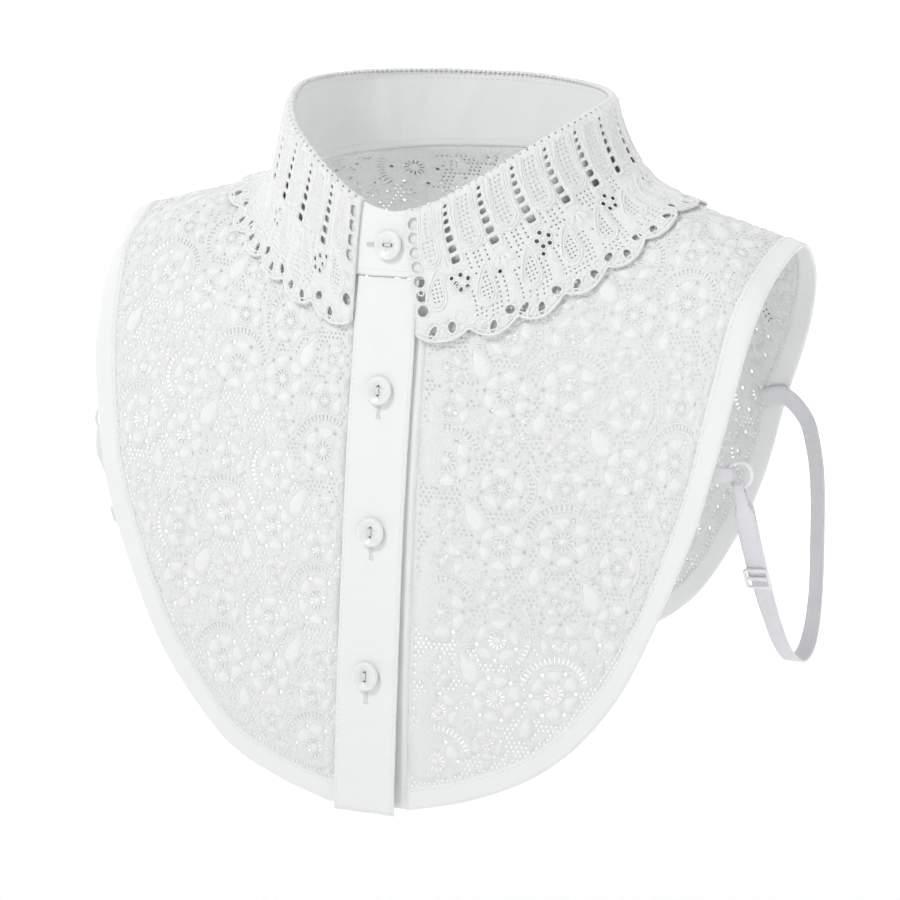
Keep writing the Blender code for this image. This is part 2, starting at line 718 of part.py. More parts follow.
def build_leaf(name, first, last):
    """The flat pattern of a part of the leaf is cut into triangles with its openings left out, and
    each corner is then placed on the folded form."""
    stretch = 16.0  # so that a repeat is about as wide as it really is while it is cut
    outline = leaf_outline(first, last)
    holes = [hole for hole in leaf_holes() if first < hole[0][0] < last]
    corners, edges = [], []
    for loop in (outline, *holes):
        base = len(corners)
        corners += [(x * stretch, y) for x, y in loop]
        edges += [(base + i, base + (i + 1) % len(loop)) for i in range(len(loop))]
    for repeat in np.arange(first + 0.5, last, 0.5):
        corners += [(repeat * stretch, along) for along in (*CROWN_ROWS, *EVEN_ROWS)]
    made = geometry.delaunay_2d_cdt(corners, edges, [], 0, 1e-5)
    flat = [(corner[0] / stretch, corner[1]) for corner in made[0]]
    faces = []
    for face in made[2]:
        middle = tuple(sum(flat[corner][axis] for corner in face) / len(face) for axis in (0, 1))
        near = [hole for hole in holes if abs(hole[0][0] - middle[0]) < 0.6]
        below = (middle[0], middle[1] + 0.01)  # outside for a sliver from scallop to scallop
        if inside(outline, below) and not any(inside(hole, middle) for hole in near):
            faces.append(tuple(face))
    used = sorted({corner for face in faces for corner in face})
    renumber = {corner: number for number, corner in enumerate(used)}
    placed = [on_leaf(*flat[corner]) for corner in used]
    faces = [tuple(renumber[corner] for corner in face) for face in faces]
    add_wall(name, placed, faces, LEAF_WALL, GUIPURE)


def build_button(name, place, outward, hole_turn):
    """A two-hole button: a dished disc with a rounded rim."""
    profile = (
        # radius, height
        (BUTTON_RADIUS * 0.72, 0.0),
        (BUTTON_RADIUS, BUTTON_WALL * 0.45),
        (BUTTON_RADIUS * 0.93, BUTTON_WALL),
        (BUTTON_RADIUS * 0.74, BUTTON_WALL),
        (BUTTON_RADIUS * 0.62, BUTTON_WALL - BUTTON_RIM),
    )
    sides = 20
    corners = []
    for radius, height in profile:
        turns = [2 * math.pi * step / sides for step in range(sides)]
        corners += [(radius * math.cos(turn), radius * math.sin(turn), height) for turn in turns]
    last = (len(profile) - 1) * sides
    faces = [tuple(range(sides)), tuple(range(last, last + sides))]
    for low in range(0, last, sides):
        for step in range(sides):
            after = (step + 1) % sides
            faces.append((low + step, low + after, low + sides + after, low + sides + step))
    button = add_solid(name, corners, faces, PLASTIC, smooth=False)

    cutter_shape = bmesh.new()
    turn = math.radians(hole_turn)
    for reach in (-BUTTON_HOLE_APART / 2, BUTTON_HOLE_APART / 2):
        made = bmesh.ops.create_cone(
            cutter_shape,
            cap_ends=True,
            segments=8,
            radius1=BUTTON_HOLE_RADIUS * METRE,
            radius2=BUTTON_HOLE_RADIUS * METRE,
            depth=BUTTON_WALL * 3 * METRE,
        )
        move = Vector((math.cos(turn), math.sin(turn), 0)) * reach * METRE
        bmesh.ops.translate(cutter_shape, verts=made["verts"], vec=move)
    cutter_mesh = bpy.data.meshes.new(f"{name}_holes")
    cutter_shape.to_mesh(cutter_mesh)
    cutter_shape.free()
    cutter = bpy.data.objects.new(f"{name}_holes", cutter_mesh)
    bpy.context.scene.collection.objects.link(cutter)
    cutter.hide_render = True
    cutter.display_type = "WIRE"
    cutter.parent = button
    holes = button.modifiers.new("holes", "BOOLEAN")
    holes.operation = "DIFFERENCE"
    holes.object = cutter
    button.location = [value * METRE for value in place]
    button.rotation_mode = "QUATERNION"
    button.rotation_quaternion = Vector(outward).to_track_quat("Z", "Y")


def build_buttons():
    back_gap = SEAM_GAP + COTTON_WALL / 2
    for number, along in enumerate(PLACKET_BUTTONS, start=2):
        point, outward = on_cloth(1, 0.0, along)
        place = point + outward * (placket_lift(along) + back_gap)
        build_button(f"button_{number}", place, outward, 90)
    seam, fold = neck_point(0), fold_point(0, 1)
    share = (NECK_BUTTON_Z - seam[2]) / (fold[2] - seam[2])
    outward = unit(np.cross(np.array([1.0, 0, 0]), fold - seam))
    belly = STAND_BELLY * math.sin(share * math.pi)
    surface = seam + (fold - seam) * share + outward * (belly + STAND_LAP_STEP + STAND_WALL / 2)
    build_button("button_1", surface + outward * SEAM_GAP, outward, 0)


def smooth_route(route, steps):
    """Points on a smooth curve through the rows of a route."""
    rows = [np.array(row, float) for row in route]
    padded = [2 * rows[0] - rows[1], *rows, 2 * rows[-1] - rows[-2]]
    made = []
    for index in range(len(rows) - 1):
        made += [through_four(padded[index : index + 4], share) for share in np.arange(0, 1, 1 / steps)]
    return [*made, rows[-1]]


def add_band(name, points, widths, sizes, wall, material):
    """A flat band along a path, with the direction and the size of its width at each point."""
    corners = []
    count = len(points)
    for number, (point, across, width) in enumerate(zip(points, widths, sizes)):
        before = points[max(number - 1, 0)]
        after = points[min(number + 1, count - 1)]
        run = unit(after - before)
        across = unit(across - run * float(across @ run))
        face = np.cross(run, across)
        for a, f in ((-1, -1), (1, -1), (1, 1), (-1, 1)):
            corners.append(point + across * a * width / 2 + face * f * wall / 2)
    faces = [(3, 2, 1, 0), tuple(4 * (count - 1) + corner for corner in range(4))]
    for number in range(count - 1):
        for corner in range(4):
            after = (corner + 1) % 4
            faces.append(
                (4 * number + corner, 4 * number + after, 4 * number + 4 + after, 4 * number + 4 + corner)
            )
    return add_solid(name, corners, faces, material)


def width_direction(turn):
    turn = math.radians(turn)
    return np.array([math.cos(turn), math.sin(turn), 0.0])


def inside_edge(side, line, from_hem, clear):
    """The middle of a band that lies against the inside of the bound edge, and the way it faces,
    both for the wearer's left; the caller mirrors them for the right."""
    flip = np.array([side, 1, 1])
    point, outward = on_cloth(side, line, cloth_length(line) - from_hem)
    return (point - outward * (BINDING_WALL / 2 + SEAM_GAP + BAND_WALL / 2 + clear)) * flip, outward * flip


def strap_path(side):
    """The long layer of a strap: down from the ring, round the loop and up to the back. Points and
    the directions of the band's width."""
    count = len(STRAP_ROUTE) - 1
    rows = []
    for number, (x, y, z, turn) in enumerate(STRAP_ROUTE):
        inward = HIDDEN_STRAP_INWARD * math.sin(math.pi * number / count) if side < 0 else 0.0
        rows.append((x - inward, y, z, turn))
    for line, from_hem, clear in STRAP_END:
        point, facing = inside_edge(side, line, from_hem, clear)
        rows.append((*point, STRAP_ROUTE[-1][3]))
    made = smooth_route(rows, 3)
    points = [row[:3] for row in made]
    widths = []
    for number, point in enumerate(points):
        run = unit(points[min(number + 1, len(points) - 1)] - points[max(number - 1, 0)])
        flat = smooth_step((number / 3 - 8.0) / 3.0)
        width = width_direction(made[number][3]) * (1 - flat) + np.cross(facing, run) * flat
        widths.append(unit(width))
    return points, widths


def wrap_round(centre, radius, first_way, middle_way):
    """Half a turn of a band round a wire: it starts on one side of the wire and ends opposite."""
    turns = [math.pi * step / 6 for step in range(7)]
    return [centre + radius * (first_way * math.cos(t) + middle_way * math.sin(t)) for t in turns]


def build_strap(side, name):
    """The band comes down from the ring, hangs in a loop and ends on the inside of the back. Above
    the slider it is doubled: it passes through the ring and comes back down in front."""
    flip = np.array([side, 1, 1])
    ring = np.array(RING_PLACE)
    up = np.array([0, 0, 1.0])
    in_plane = width_direction(RING_TURN)
    facing = np.cross(in_plane, up)
    long_layer, widths = strap_path(side)
    foot = ring - up * RING_RADIUS
    wrap = wrap_round(foot, WRAP_RADIUS, -facing, up)
    slider_at = SLIDER_ROW * 3
    faces = []
    for number in range(slider_at + 2):
        run = unit(long_layer[number + 1] - long_layer[max(number - 1, 0)])
        face = unit(np.cross(widths[number], run))
        faces.append(face if float(face @ facing) > 0 else -face)
    front_layer = []
    for number in range(1, slider_at + 1):
        closing = smooth_step(number / (slider_at - 1))
        apart = 2 * WRAP_RADIUS * (1 - closing) + LAYERS_APART * closing
        front_layer.append(long_layer[number] + faces[number] * apart)
    points = [*reversed(front_layer), *reversed(wrap), *long_layer]
    all_widths = [*reversed(widths[1 : slider_at + 1]), *[in_plane] * len(wrap), *widths]
    free, narrow = BAND_WIDTH, BAND_AT_RING
    sizes = [free] * (len(front_layer) - 1) + [free * 0.93]
    sizes += [narrow] * len(wrap) + [narrow * 1.3, free * 0.93] + [free] * (len(long_layer) - 2)
    points = [point * flip for point in points]
    all_widths = [direction * flip for direction in all_widths]
    add_band(f"strap_{name}", points, all_widths, sizes, BAND_WALL, ELASTIC)

    build_ring(f"ring_{name}", ring, facing, flip)
    run = unit(long_layer[slider_at + 1] - long_layer[slider_at - 1])
    lift = LAYERS_APART + BAND_WALL / 2 + SEAM_GAP + 0.2 + SLIDER_WIRE / 2
    place = long_layer[slider_at] + faces[slider_at] * lift
    build_slider(f"slider_{name}", place, widths[slider_at], -run, faces[slider_at], flip)
    build_tab(side, f"tab_{name}", ring, in_plane, facing)


def build_ring(name, ring, axis, flip):
    sides, around = 6, 20
    up = np.array([0, 0, 1.0])
    side_way = np.cross(axis, up)
    corners = []
    for step in range(around):
        turn = 2 * math.pi * step / around
        out = side_way * math.cos(turn) + up * math.sin(turn)
        for part in range(sides):
            small = 2 * math.pi * part / sides
            offset = out * math.cos(small) + axis * math.sin(small)
            corners.append((ring + out * RING_RADIUS + offset * RING_WIRE) * flip)
    faces = []
    for step in range(around):
        for part in range(sides):
            here, after = step * sides, (step + 1) % around * sides
            following = (part + 1) % sides
            faces.append((here + part, here + following, after + following, after + part))
    add_solid(name, corners, faces, PLASTIC)


def build_slider(name, place, side_way, up_way, away, flip):
    """A flat frame with a bar across its middle, which leaves two slots for the band."""
    half_wide, half_high, bar = SLIDER_WIDTH / 2, SLIDER_HEIGHT / 2, SLIDER_WIRE
    xs = (-half_wide, -half_wide + bar, half_wide - bar, half_wide)
    ys = (-half_high, -half_high + bar, -bar / 2, bar / 2, half_high - bar, half_high)
    placed = [((place + side_way * x + up_way * y) * flip, away * flip) for x in xs for y in ys]
    slots = ((1, 1), (1, 3))
    faces = [
        (c * 6 + r, (c + 1) * 6 + r, (c + 1) * 6 + r + 1, c * 6 + r + 1)
        for c in range(3)
        for r in range(5)
        if (c, r) not in slots
    ]
    add_wall(name, placed, faces, bar, PLASTIC)


def build_tab(side, name, ring, in_plane, facing):
    """A short loop of elastic folded round the ring, with its ends sewn inside the front binding."""
    flip = np.array([side, 1, 1])
    near_ring = ring - in_plane * RING_RADIUS
    near, front_out = inside_edge(side, *TAB_SEWN)
    near_edge, edge_out = inside_edge(side, *TAB_EDGE)
    far, far_edge = near - front_out * LAYERS_APART, near_edge - edge_out * LAYERS_APART
    approach = unit((near_ring - near_edge) * (1, 1, 0))
    up = np.array([0, 0, 1.0])
    wrap = wrap_round(near_ring, WRAP_RADIUS, np.cross(approach, up), approach)
    points = [near, near_edge, *wrap, far_edge, far]
    sewn, at_edge = (unit(up - out * float(out @ up)) for out in (front_out, edge_out))
    widths = [sewn, at_edge, *[up] * len(wrap), at_edge, sewn]
    points = [point * flip for point in points]
    widths = [width * flip for width in widths]
    sizes = [TAB_WIDTH, TAB_WIDTH, *[BAND_AT_RING] * len(wrap), TAB_WIDTH, TAB_WIDTH]
    add_band(name, points, widths, sizes, BAND_WALL, ELASTIC)


build_fronts()
build_back()
build_plackets()
build_stand()
build_leaf("collar_leaf_left", 0.0, LEAF_SEAM)
build_leaf("collar_leaf_right", LEAF_SEAM, 2.0 * REPEATS_A_SIDE)
build_buttons()
for strap_side, strap_name in ((1, "left"), (-1, "right")):
    build_strap(strap_side, strap_name)
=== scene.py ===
import functools
import math

import bpy
import numpy as np
from mathutils import Matrix, Vector, geometry


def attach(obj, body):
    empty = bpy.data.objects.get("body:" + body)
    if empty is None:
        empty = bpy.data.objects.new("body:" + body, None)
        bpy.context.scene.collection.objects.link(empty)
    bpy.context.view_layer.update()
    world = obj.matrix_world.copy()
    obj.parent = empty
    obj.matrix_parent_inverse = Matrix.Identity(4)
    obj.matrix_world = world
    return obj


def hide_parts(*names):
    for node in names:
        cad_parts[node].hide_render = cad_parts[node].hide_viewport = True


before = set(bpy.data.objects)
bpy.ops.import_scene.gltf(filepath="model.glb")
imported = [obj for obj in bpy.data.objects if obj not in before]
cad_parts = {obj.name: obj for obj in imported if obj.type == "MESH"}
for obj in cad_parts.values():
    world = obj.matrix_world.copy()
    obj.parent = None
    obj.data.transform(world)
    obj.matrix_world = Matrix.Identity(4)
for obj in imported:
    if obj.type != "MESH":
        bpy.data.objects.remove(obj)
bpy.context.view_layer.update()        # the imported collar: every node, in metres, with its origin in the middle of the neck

mm = 0.001  # every shape below is worked out in millimetres

# The forms the cloth keeps when it is worn, with the same driving sizes as the solids

neck = {"halfWidth": 75.0, "front": 59.0, "back": 60.0, "rounding": 45.0}
fold = {"halfWidth": {1: 66.5, -1: 72.5}, "front": 54.0, "back": 62.0}  # 1 is the wearer's left side
flatFront = 18.5  # how far from centre front the cloth stays flat

neckHeights = (
    # angle from centre front, neck seam, fold line on the wearer's left, on the right
    (0.0, -49.0, -23.5, -23.5),
    (11.0, -48.8, -21.5, -20.0),
    (25.0, -46.0, -13.5, -10.5),
    (40.0, -39.5, -3.4, 0.0),
    (58.0, -29.5, 6.5, 9.5),
    (72.0, -22.0, 12.5, 16.5),
    (90.0, -15.5, 17.5, 22.5),
    (110.0, -10.5, 19.4, 24.6),
    (130.0, -8.0, 21.0, 25.2),
    (150.0, -6.6, 22.4, 25.2),
    (180.0, -6.0, 24.5, 24.5),
)

clothLines = (
    # neck angle, hem x, hem y, hem z, leaving turn and dip, arriving turn and dip
    (0.0, 0.0, -80.0, -268.0, 0, 78, 0, 88),
    (14.3, 18.5, -80.0, -266.5, 0, 78, 0, 88),
    (27.0, 46.0, -75.0, -260.0, 14, 75, 10, 86),
    (38.0, 76.0, -69.5, -246.0, 26, 69, 16, 84),
    (49.0, 101.0, -65.0, -221.0, 38, 61, 22, 82),
    (59.0, 121.0, -62.5, -186.0, 50, 52, 28, 80),
    (68.0, 136.5, -60.0, -146.0, 61, 42, 36, 78),
    (76.0, 147.0, -52.0, -101.0, 72, 32, 45, 74),
    (83.0, 151.5, -34.0, -62.0, 82, 17, 62, 62),
    (86.5, 153.8, -14.0, -43.0, 87, 13, 78, 34),
    (90.0, 156.0, 6.0, -34.5, 91, 12, 92, 20),
    (97.0, 154.5, 22.0, -45.5, 98, 13, 108, 40),
    (106.0, 148.5, 36.0, -62.0, 108, 20, 122, 62),
    (117.0, 140.0, 46.0, -83.0, 118, 27, 132, 70),
    (128.0, 128.5, 52.5, -110.0, 129, 34, 142, 76),
    (140.0, 117.0, 57.5, -143.5, 141, 42, 152, 80),
    (152.0, 101.0, 62.0, -174.5, 153, 50, 162, 84),
    (162.0, 79.0, 65.0, -202.0, 163, 57, 170, 87),
    (171.0, 44.0, 67.0, -221.0, 172, 62, 175, 88),
    (180.0, 0.0, 68.0, -227.0, 180, 64, 180, 89),
)
shoulderLine, lastLine = 10, 19

clothFolds = (
    # side, middle line, half width in lines, height, share of the way down where it starts
    (-1, 2.6, 0.9, 1.6, 0.45),
    (-1, 6.6, 0.8, -2.0, 0.45),
    (-1, 4.4, 1.0, 1.6, 0.35),
    (1, 2.4, 0.8, 1.6, 0.50),
    (1, 5.2, 1.1, 1.8, 0.40),
    (1, 7.2, 0.7, -1.4, 0.50),
    (1, 14.5, 1.0, 1.8, 0.45),
    (-1, 14.0, 1.0, 1.6, 0.45),
    (1, 17.6, 0.9, -1.6, 0.50),
    (-1, 17.2, 0.9, 1.6, 0.50),
)


def smoothStep(share):
    share = np.clip(share, 0.0, 1.0)
    return share * share * (3 - 2 * share)


def throughFour(values, share):
    before, first, second, after = (np.asarray(value, float) for value in values)
    square = 2 * before - 5 * first + 4 * second - after
    cube = 3 * (first - second) + after - before
    return 0.5 * (2 * first + (second - before) * share + square * share**2 + cube * share**3)


def readTable(table, at, column):
    return np.interp(at, [row[0] for row in table], [row[column] for row in table])


def smoothTable(table, at, column):
    keys = [row[0] for row in table]
    row = min(max(np.searchsorted(keys, at) - 1, 0), len(keys) - 2)
    four = [table[min(max(row + step, 0), len(keys) - 1)][column] for step in (-1, 0, 1, 2)]
    return float(throughFour(four, (at - keys[row]) / (keys[row + 1] - keys[row])))


def unit(vectors):
    vectors = np.asarray(vectors, float)
    return vectors / (np.linalg.norm(vectors, axis=-1, keepdims=True) + 1e-12)


def heading(turn, dip):
    turn, dip = math.radians(turn), math.radians(dip)
    return np.array([math.sin(turn) * math.cos(dip), -math.cos(turn) * math.cos(dip), -math.sin(dip)])


def ringPoint(angle, halfWidth, front, back, z):
    turn = math.radians(angle)
    return np.array([halfWidth * math.sin(turn), -(front if math.cos(turn) > 0 else back) * math.cos(turn), z])


def neckPoint(angle):
    z = smoothTable(neckHeights, min(abs(angle), 180.0), 1)
    return ringPoint(angle, neck["halfWidth"], neck["front"], neck["back"], z)


def foldPoint(angle, side):
    z = smoothTable(neckHeights, min(abs(angle), 180.0), 2 if side > 0 else 3)
    width = fold["halfWidth"][side] + (70.0 - fold["halfWidth"][side]) * smoothStep((angle - 120) / 60)
    return ringPoint(angle, width, fold["front"], fold["back"], z)


def lineRow(row):
    if row < 0:
        angle, x, y, z, *turns = clothLines[-row]
        return np.array([-angle, -x, y, z, -turns[0], turns[1], -turns[2], turns[3]])
    if row > lastLine:
        angle, x, y, z, *turns = clothLines[2 * lastLine - row]
        return np.array([360 - angle, -x, y, z, 360 - turns[0], turns[1], 360 - turns[2], turns[3]])
    return np.array(clothLines[row], float)


@functools.lru_cache(maxsize=None)
def clothLine(line):  # points down the cloth from the neck seam to the hem, and their distances
    if abs(line) < 1:
        points, along = clothLine(1.0)
        angle = math.degrees(math.asin(flatFront * abs(line) / neck["halfWidth"]))
        rounding = neckPoint(angle) - neckPoint(clothLines[1][0])
        shifted = points + rounding * (1 - smoothStep(along / neck["rounding"]))[:, None]
        shifted[:, 0] = flatFront * line
        return shifted, along
    row = math.floor(line)
    values = throughFour([lineRow(row + step) for step in (-1, 0, 1, 2)], line - row)
    if 1 <= line < 2:
        values = throughFour([2 * lineRow(1) - lineRow(2), *map(lineRow, (1, 2, 3))], line - row)
    start, end = neckPoint(values[0]), values[1:4]
    reach = np.linalg.norm(end - start)
    leave, arrive = heading(values[4], values[5]) * reach, heading(values[6], values[7]) * reach
    s = np.linspace(0, 1, 97)[:, None]
    points = (
        (2 * s**3 - 3 * s**2 + 1) * start
        + (s**3 - 2 * s**2 + s) * leave
        + (3 * s**2 - 2 * s**3) * end
        + (s**3 - s**2) * arrive
    )
    steps = np.linalg.norm(np.diff(points, axis=0), axis=1)
    return points, np.concatenate([[0.0], np.cumsum(steps)])


def clothLength(line):
    return float(clothLine(round(float(line), 4))[1][-1])


def gridNormals(points):  # outward, from the way down each column and the way across
    return unit(np.cross(np.gradient(points, axis=1), np.gradient(points, axis=0)))


def lookUp(table, column, row):  # a value between the samples of a grid; column and row may be arrays
    columns, rows = table.shape[0], table.shape[1]
    column = np.clip(np.asarray(column, float), 0, columns - 1.0001)
    row = np.clip(np.asarray(row, float), 0, rows - 1.0001)
    c, r = column.astype(int), row.astype(int)
    fc, fr = (column - c)[..., None], (row - r)[..., None]
    near = table[c, r] * (1 - fr) + table[c, r + 1] * fr
    far = table[c + 1, r] * (1 - fr) + table[c + 1, r + 1] * fr
    return near * (1 - fc) + far * fc


lineStep, firstLine = 0.1, -1.0
samplesDown = 121


@functools.lru_cache(maxsize=None)
def clothTable(side):
    lines = np.arange(round((lastLine + 0.6 - firstLine) / lineStep)) * lineStep + firstLine
    shares = np.linspace(0, 1, samplesDown)
    bare = []
    for line in lines:
        points, along = clothLine(round(float(line), 4))
        bare.append([np.interp(shares * along[-1], along, points[:, axis]) for axis in range(3)])
    bare = np.array(bare).transpose(0, 2, 1)
    height = np.zeros(bare.shape[:2])
    for foldSide, middle, halfWidth, rise, begins in clothFolds:
        if foldSide == side:
            across = np.clip(np.abs(lines - middle) / halfWidth, 0, 1)
            down = smoothStep((shares - begins) / (1 - begins))
            height += rise * np.cos(across * math.pi / 2)[:, None] ** 2 * down[None]
    points = bare + gridNormals(bare) * height[..., None]
    flip = np.array([side, 1, 1])
    lengths = np.array([clothLength(line) for line in lines])
    return points * flip, gridNormals(points) * flip, lengths


def onCloth(side, line, along, height=0.0):  # points on the cloth, and their outward directions
    points, outward, lengths = clothTable(side)
    line, along = np.broadcast_arrays(np.asarray(line, float), np.asarray(along, float))
    column = (line - firstLine) / lineStep
    row = along / np.interp(column, np.arange(len(lengths)), lengths) * (samplesDown - 1)
    out = unit(lookUp(outward, column, row))
    return lookUp(points, column, row) + out * np.asarray(height)[..., None], out


# Small makers

def linear(hexColour):  # sRGB hex to linear light
    parts = [int(hexColour[i : i + 2], 16) / 255 for i in (1, 3, 5)]
    return (*[p / 12.92 if p <= 0.04045 else ((p + 0.055) / 1.055) ** 2.4 for p in parts], 1.0)


def addNode(tree, kind, settings=None, links=None):  # links go from input name or number to a socket or value
    node = tree.nodes.new(kind)
    for key, value in (settings or {}).items():
        setattr(node, key, value)
    for key, value in (links or {}).items():
        if isinstance(value, bpy.types.NodeSocket):
            tree.links.new(value, node.inputs[key])
        else:
            node.inputs[key].default_value = value
    return node


def addMesh(name, points, faces, material, uv=None, smooth=True, finish=None):  # points in millimetres
    mesh = bpy.data.meshes.new(name)
    mesh.from_pydata([tuple(p) for p in np.asarray(points, float) * mm], [], [tuple(map(int, f)) for f in faces])
    if uv is not None:
        layer = mesh.uv_layers.new(name="flat")
        corners = np.zeros(len(mesh.loops), np.int32)
        mesh.loops.foreach_get("vertex_index", corners)
        layer.data.foreach_set("uv", np.asarray(uv, np.float32)[corners].ravel())
    mesh.polygons.foreach_set("use_smooth", [smooth] * len(mesh.polygons))
    mesh.materials.append(material)
    mesh.update()
    made = bpy.data.objects.new(name, mesh)
    bpy.context.scene.collection.objects.link(made)
    return made


def settle(piece, slotName, *nodes):  # every piece here rides on the one body
    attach(piece, "root")
    if nodes:
        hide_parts(*nodes)
    return piece


def asPlainMesh(source, modifier, name):  # the evaluated result of a node tree, kept without its modifier
    bpy.context.view_layer.update()
    mesh = bpy.data.meshes.new_from_object(source.evaluated_get(bpy.context.evaluated_depsgraph_get()))
    source.modifiers.remove(modifier)
    bpy.data.objects.remove(source)
    mesh.name = name
    made = bpy.data.objects.new(name, mesh)
    bpy.context.scene.collection.objects.link(made)
    return made


def joinPieces(name, pieces):  # several meshes with one material become one piece
    points, faces, uvs, count = [], [], [], 0
    material = pieces[0].data.materials[0]
    for piece in pieces:
        mesh = piece.data
        co = np.zeros(len(mesh.vertices) * 3, np.float32)
        mesh.vertices.foreach_get("co", co)
        points.append(co.reshape(-1, 3) / mm)
        faces += [tuple(count + v for v in polygon.vertices) for polygon in mesh.polygons]
        uv = np.zeros((len(mesh.vertices), 2))
        if mesh.uv_layers:
            corners = np.zeros(len(mesh.loops), np.int32)
            mesh.loops.foreach_get("vertex_index", corners)
            flat = np.zeros(len(mesh.loops) * 2, np.float32)
            mesh.uv_layers[0].data.foreach_get("uv", flat)
            uv[corners] = flat.reshape(-1, 2)
        uvs.append(uv)
        count += len(mesh.vertices)
        bpy.data.objects.remove(piece)
    return addMesh(name, np.vstack(points), faces, material, np.vstack(uvs))


# Materials: all on the one Principled shader. Materials: only the one shader of the
# plan, so the export keeps what is seen here

def addThreads(tree, pitch, strength):  # crossing threads as a bump, from the flat map in mm
    place = addNode(tree, "ShaderNodeUVMap", {"uv_map": "flat"})
    scale = 2 * math.pi / pitch
    parts = addNode(tree, "ShaderNodeSeparateXYZ", links={0: place.outputs["UV"]})
    waves = []
    for axis in (0, 1):
        turned = addNode(tree, "ShaderNodeMath", {"operation": "MULTIPLY"}, {0: parts.outputs[axis], 1: scale})
        waves.append(addNode(tree, "ShaderNodeMath", {"operation": "SINE"}, {0: turned.outputs[0]}).outputs[0])
    both = addNode(tree, "ShaderNodeMath", {"operation": "MULTIPLY"}, {0: waves[0], 1: waves[1]})
    return addNode(tree, "ShaderNodeBump", {}, {"Height": both.outputs[0], "Strength": strength, "Distance": 0.0002})


def makeMaterial(name, colour, roughness, pitch=None, strength=0.3, grain=None, patches=0.0):
    material = bpy.data.materials.new(name)
    material.use_nodes = True
    tree = material.node_tree
    shader = tree.nodes["Principled BSDF"]
    shader.inputs["Base Color"].default_value = linear(colour)
    shader.inputs["Roughness"].default_value = roughness
    shader.inputs["Emission Color"].default_value = linear("#ffffff")
    place = addNode(tree, "ShaderNodeTexCoord")
    normal = None
    if pitch:
        normal = addThreads(tree, pitch, strength).outputs["Normal"]
    for size, depth in grain or ():  # sizes and depths of the unevenness, in mm
        noise = addNode(tree, "ShaderNodeTexNoise", {}, {"Vector": place.outputs["Object"], "Scale": 1000 / size,
                                                         "Detail": 2.0})
        links = {"Height": noise.outputs[0], "Distance": depth * mm}
        if normal:
            links["Normal"] = normal
        normal = addNode(tree, "ShaderNodeBump", {}, links).outputs["Normal"]
    if normal:
        tree.links.new(normal, shader.inputs["Normal"])
    if patches:  # faint uneven whiteness, as of bleached cotton
        noise = addNode(tree, "ShaderNodeTexNoise", {}, {"Vector": place.outputs["Object"], "Scale": 45.0})
        base = linear(colour)
        darker = tuple(part * (1 - patches) for part in base[:3])
        mix = addNode(
            tree, "ShaderNodeMix", {"data_type": "RGBA"}, {0: noise.outputs[0], 6: (*darker, 1.0), 7: base}
        )
        tree.links.new(mix.outputs[2], shader.inputs["Base Color"])
    return material


looks = {
    # corded lace, made on a lace loom; its fine threads are drawn coarser
    "lace": makeMaterial("corded_cotton_lace", "#eceeec", 0.9, grain=((1.3, 0.55),), patches=0.05),
    # thick gimp thread worked over the net
    "cord": makeMaterial("lace_cord", "#f3f4f3", 0.85, grain=((1.1, 0.45),), patches=0.03),
    # guipure lace: embroidered on a ground that is then washed out
    "guipure": makeMaterial("guipure_lace", "#eef0ee", 0.88, grain=((1.0, 0.4),), patches=0.04),
    # plain woven cotton, its weave drawn coarser
    "poplin": makeMaterial("cotton_poplin", "#f0f2f1", 0.85, 0.84, 0.12, grain=((14.0, 1.1), (4.0, 0.12)), patches=0.02),
    "thread": makeMaterial("sewing_thread", "#e6e8e6", 0.7),  # spun polyester
    "elastic": makeMaterial("elastic_webbing", "#ebebef", 0.75, 1.1, 0.5),  # knitted elastic, ribbed across
    "plastic": makeMaterial("acetal_plastic", "#f0f0ef", 0.32),  # injection moulded
    "button": makeMaterial("polyester_button", "#eceeed", 0.28),  # turned from cast sheet
    "paper": makeMaterial("studio_paper", "#f4f4f4", 0.95),
}


def lightPaper(material, near=0.55, far=2.1, glow=0.92):  # the sweep glows softly away from the collar
    tree = material.node_tree
    place = addNode(tree, "ShaderNodeTexCoord")
    distance = addNode(tree, "ShaderNodeVectorMath", {"operation": "LENGTH"}, {0: place.outputs["Object"]})
    strength = addNode(tree, "ShaderNodeMapRange", {}, {"Value": distance.outputs["Value"], "From Min": near,
                                                        "From Max": far, "To Min": 0.0, "To Max": glow})
    tree.links.new(strength.outputs[0], tree.nodes["Principled BSDF"].inputs["Emission Strength"])


lightPaper(looks["paper"])
print("materials made", flush=True)


# The lace panels. Each front and the back has a flat pattern, in mm, that is cut and then laid on the form.

def panelFlat(sides, lines):  # where each column of a panel starts in the flat, and which way it runs there
    count = len(lines)
    lengths = np.array([clothLength(line) for line in lines])
    starts = np.array([onCloth(s, line, 0.3)[0] for s, line in zip(sides, lines)])
    ends = np.array([onCloth(s, line, length - 0.1)[0] for s, line, length in zip(sides, lines, lengths)])
    turns, origins, directions = 0.0, [np.zeros(2)], [np.array([0.0, 1.0])]
    for i in range(1, count):
        length = 0.5 * (lengths[i] + lengths[i - 1])
        down = unit(ends[i] - starts[i] + ends[i - 1] - starts[i - 1])
        stepTop, stepHem = starts[i] - starts[i - 1], ends[i] - ends[i - 1]
        shiftTop, shiftHem = float(stepTop @ down), float(stepHem @ down)
        wideTop = math.sqrt(max(float(stepTop @ stepTop) - shiftTop**2, 0.0))
        wideHem = math.sqrt(max(float(stepHem @ stepHem) - shiftHem**2, 0.0))
        before = turns
        turns += (wideHem - wideTop) / length
        middle = (before + turns) / 2
        run, across = np.array([math.sin(middle), math.cos(middle)]), np.array([math.cos(middle), -math.sin(middle)])
        origins.append(origins[-1] + across * wideTop + run * shiftTop)
        directions.append(np.array([math.sin(turns), math.cos(turns)]))
    return np.array(origins), np.array(directions)


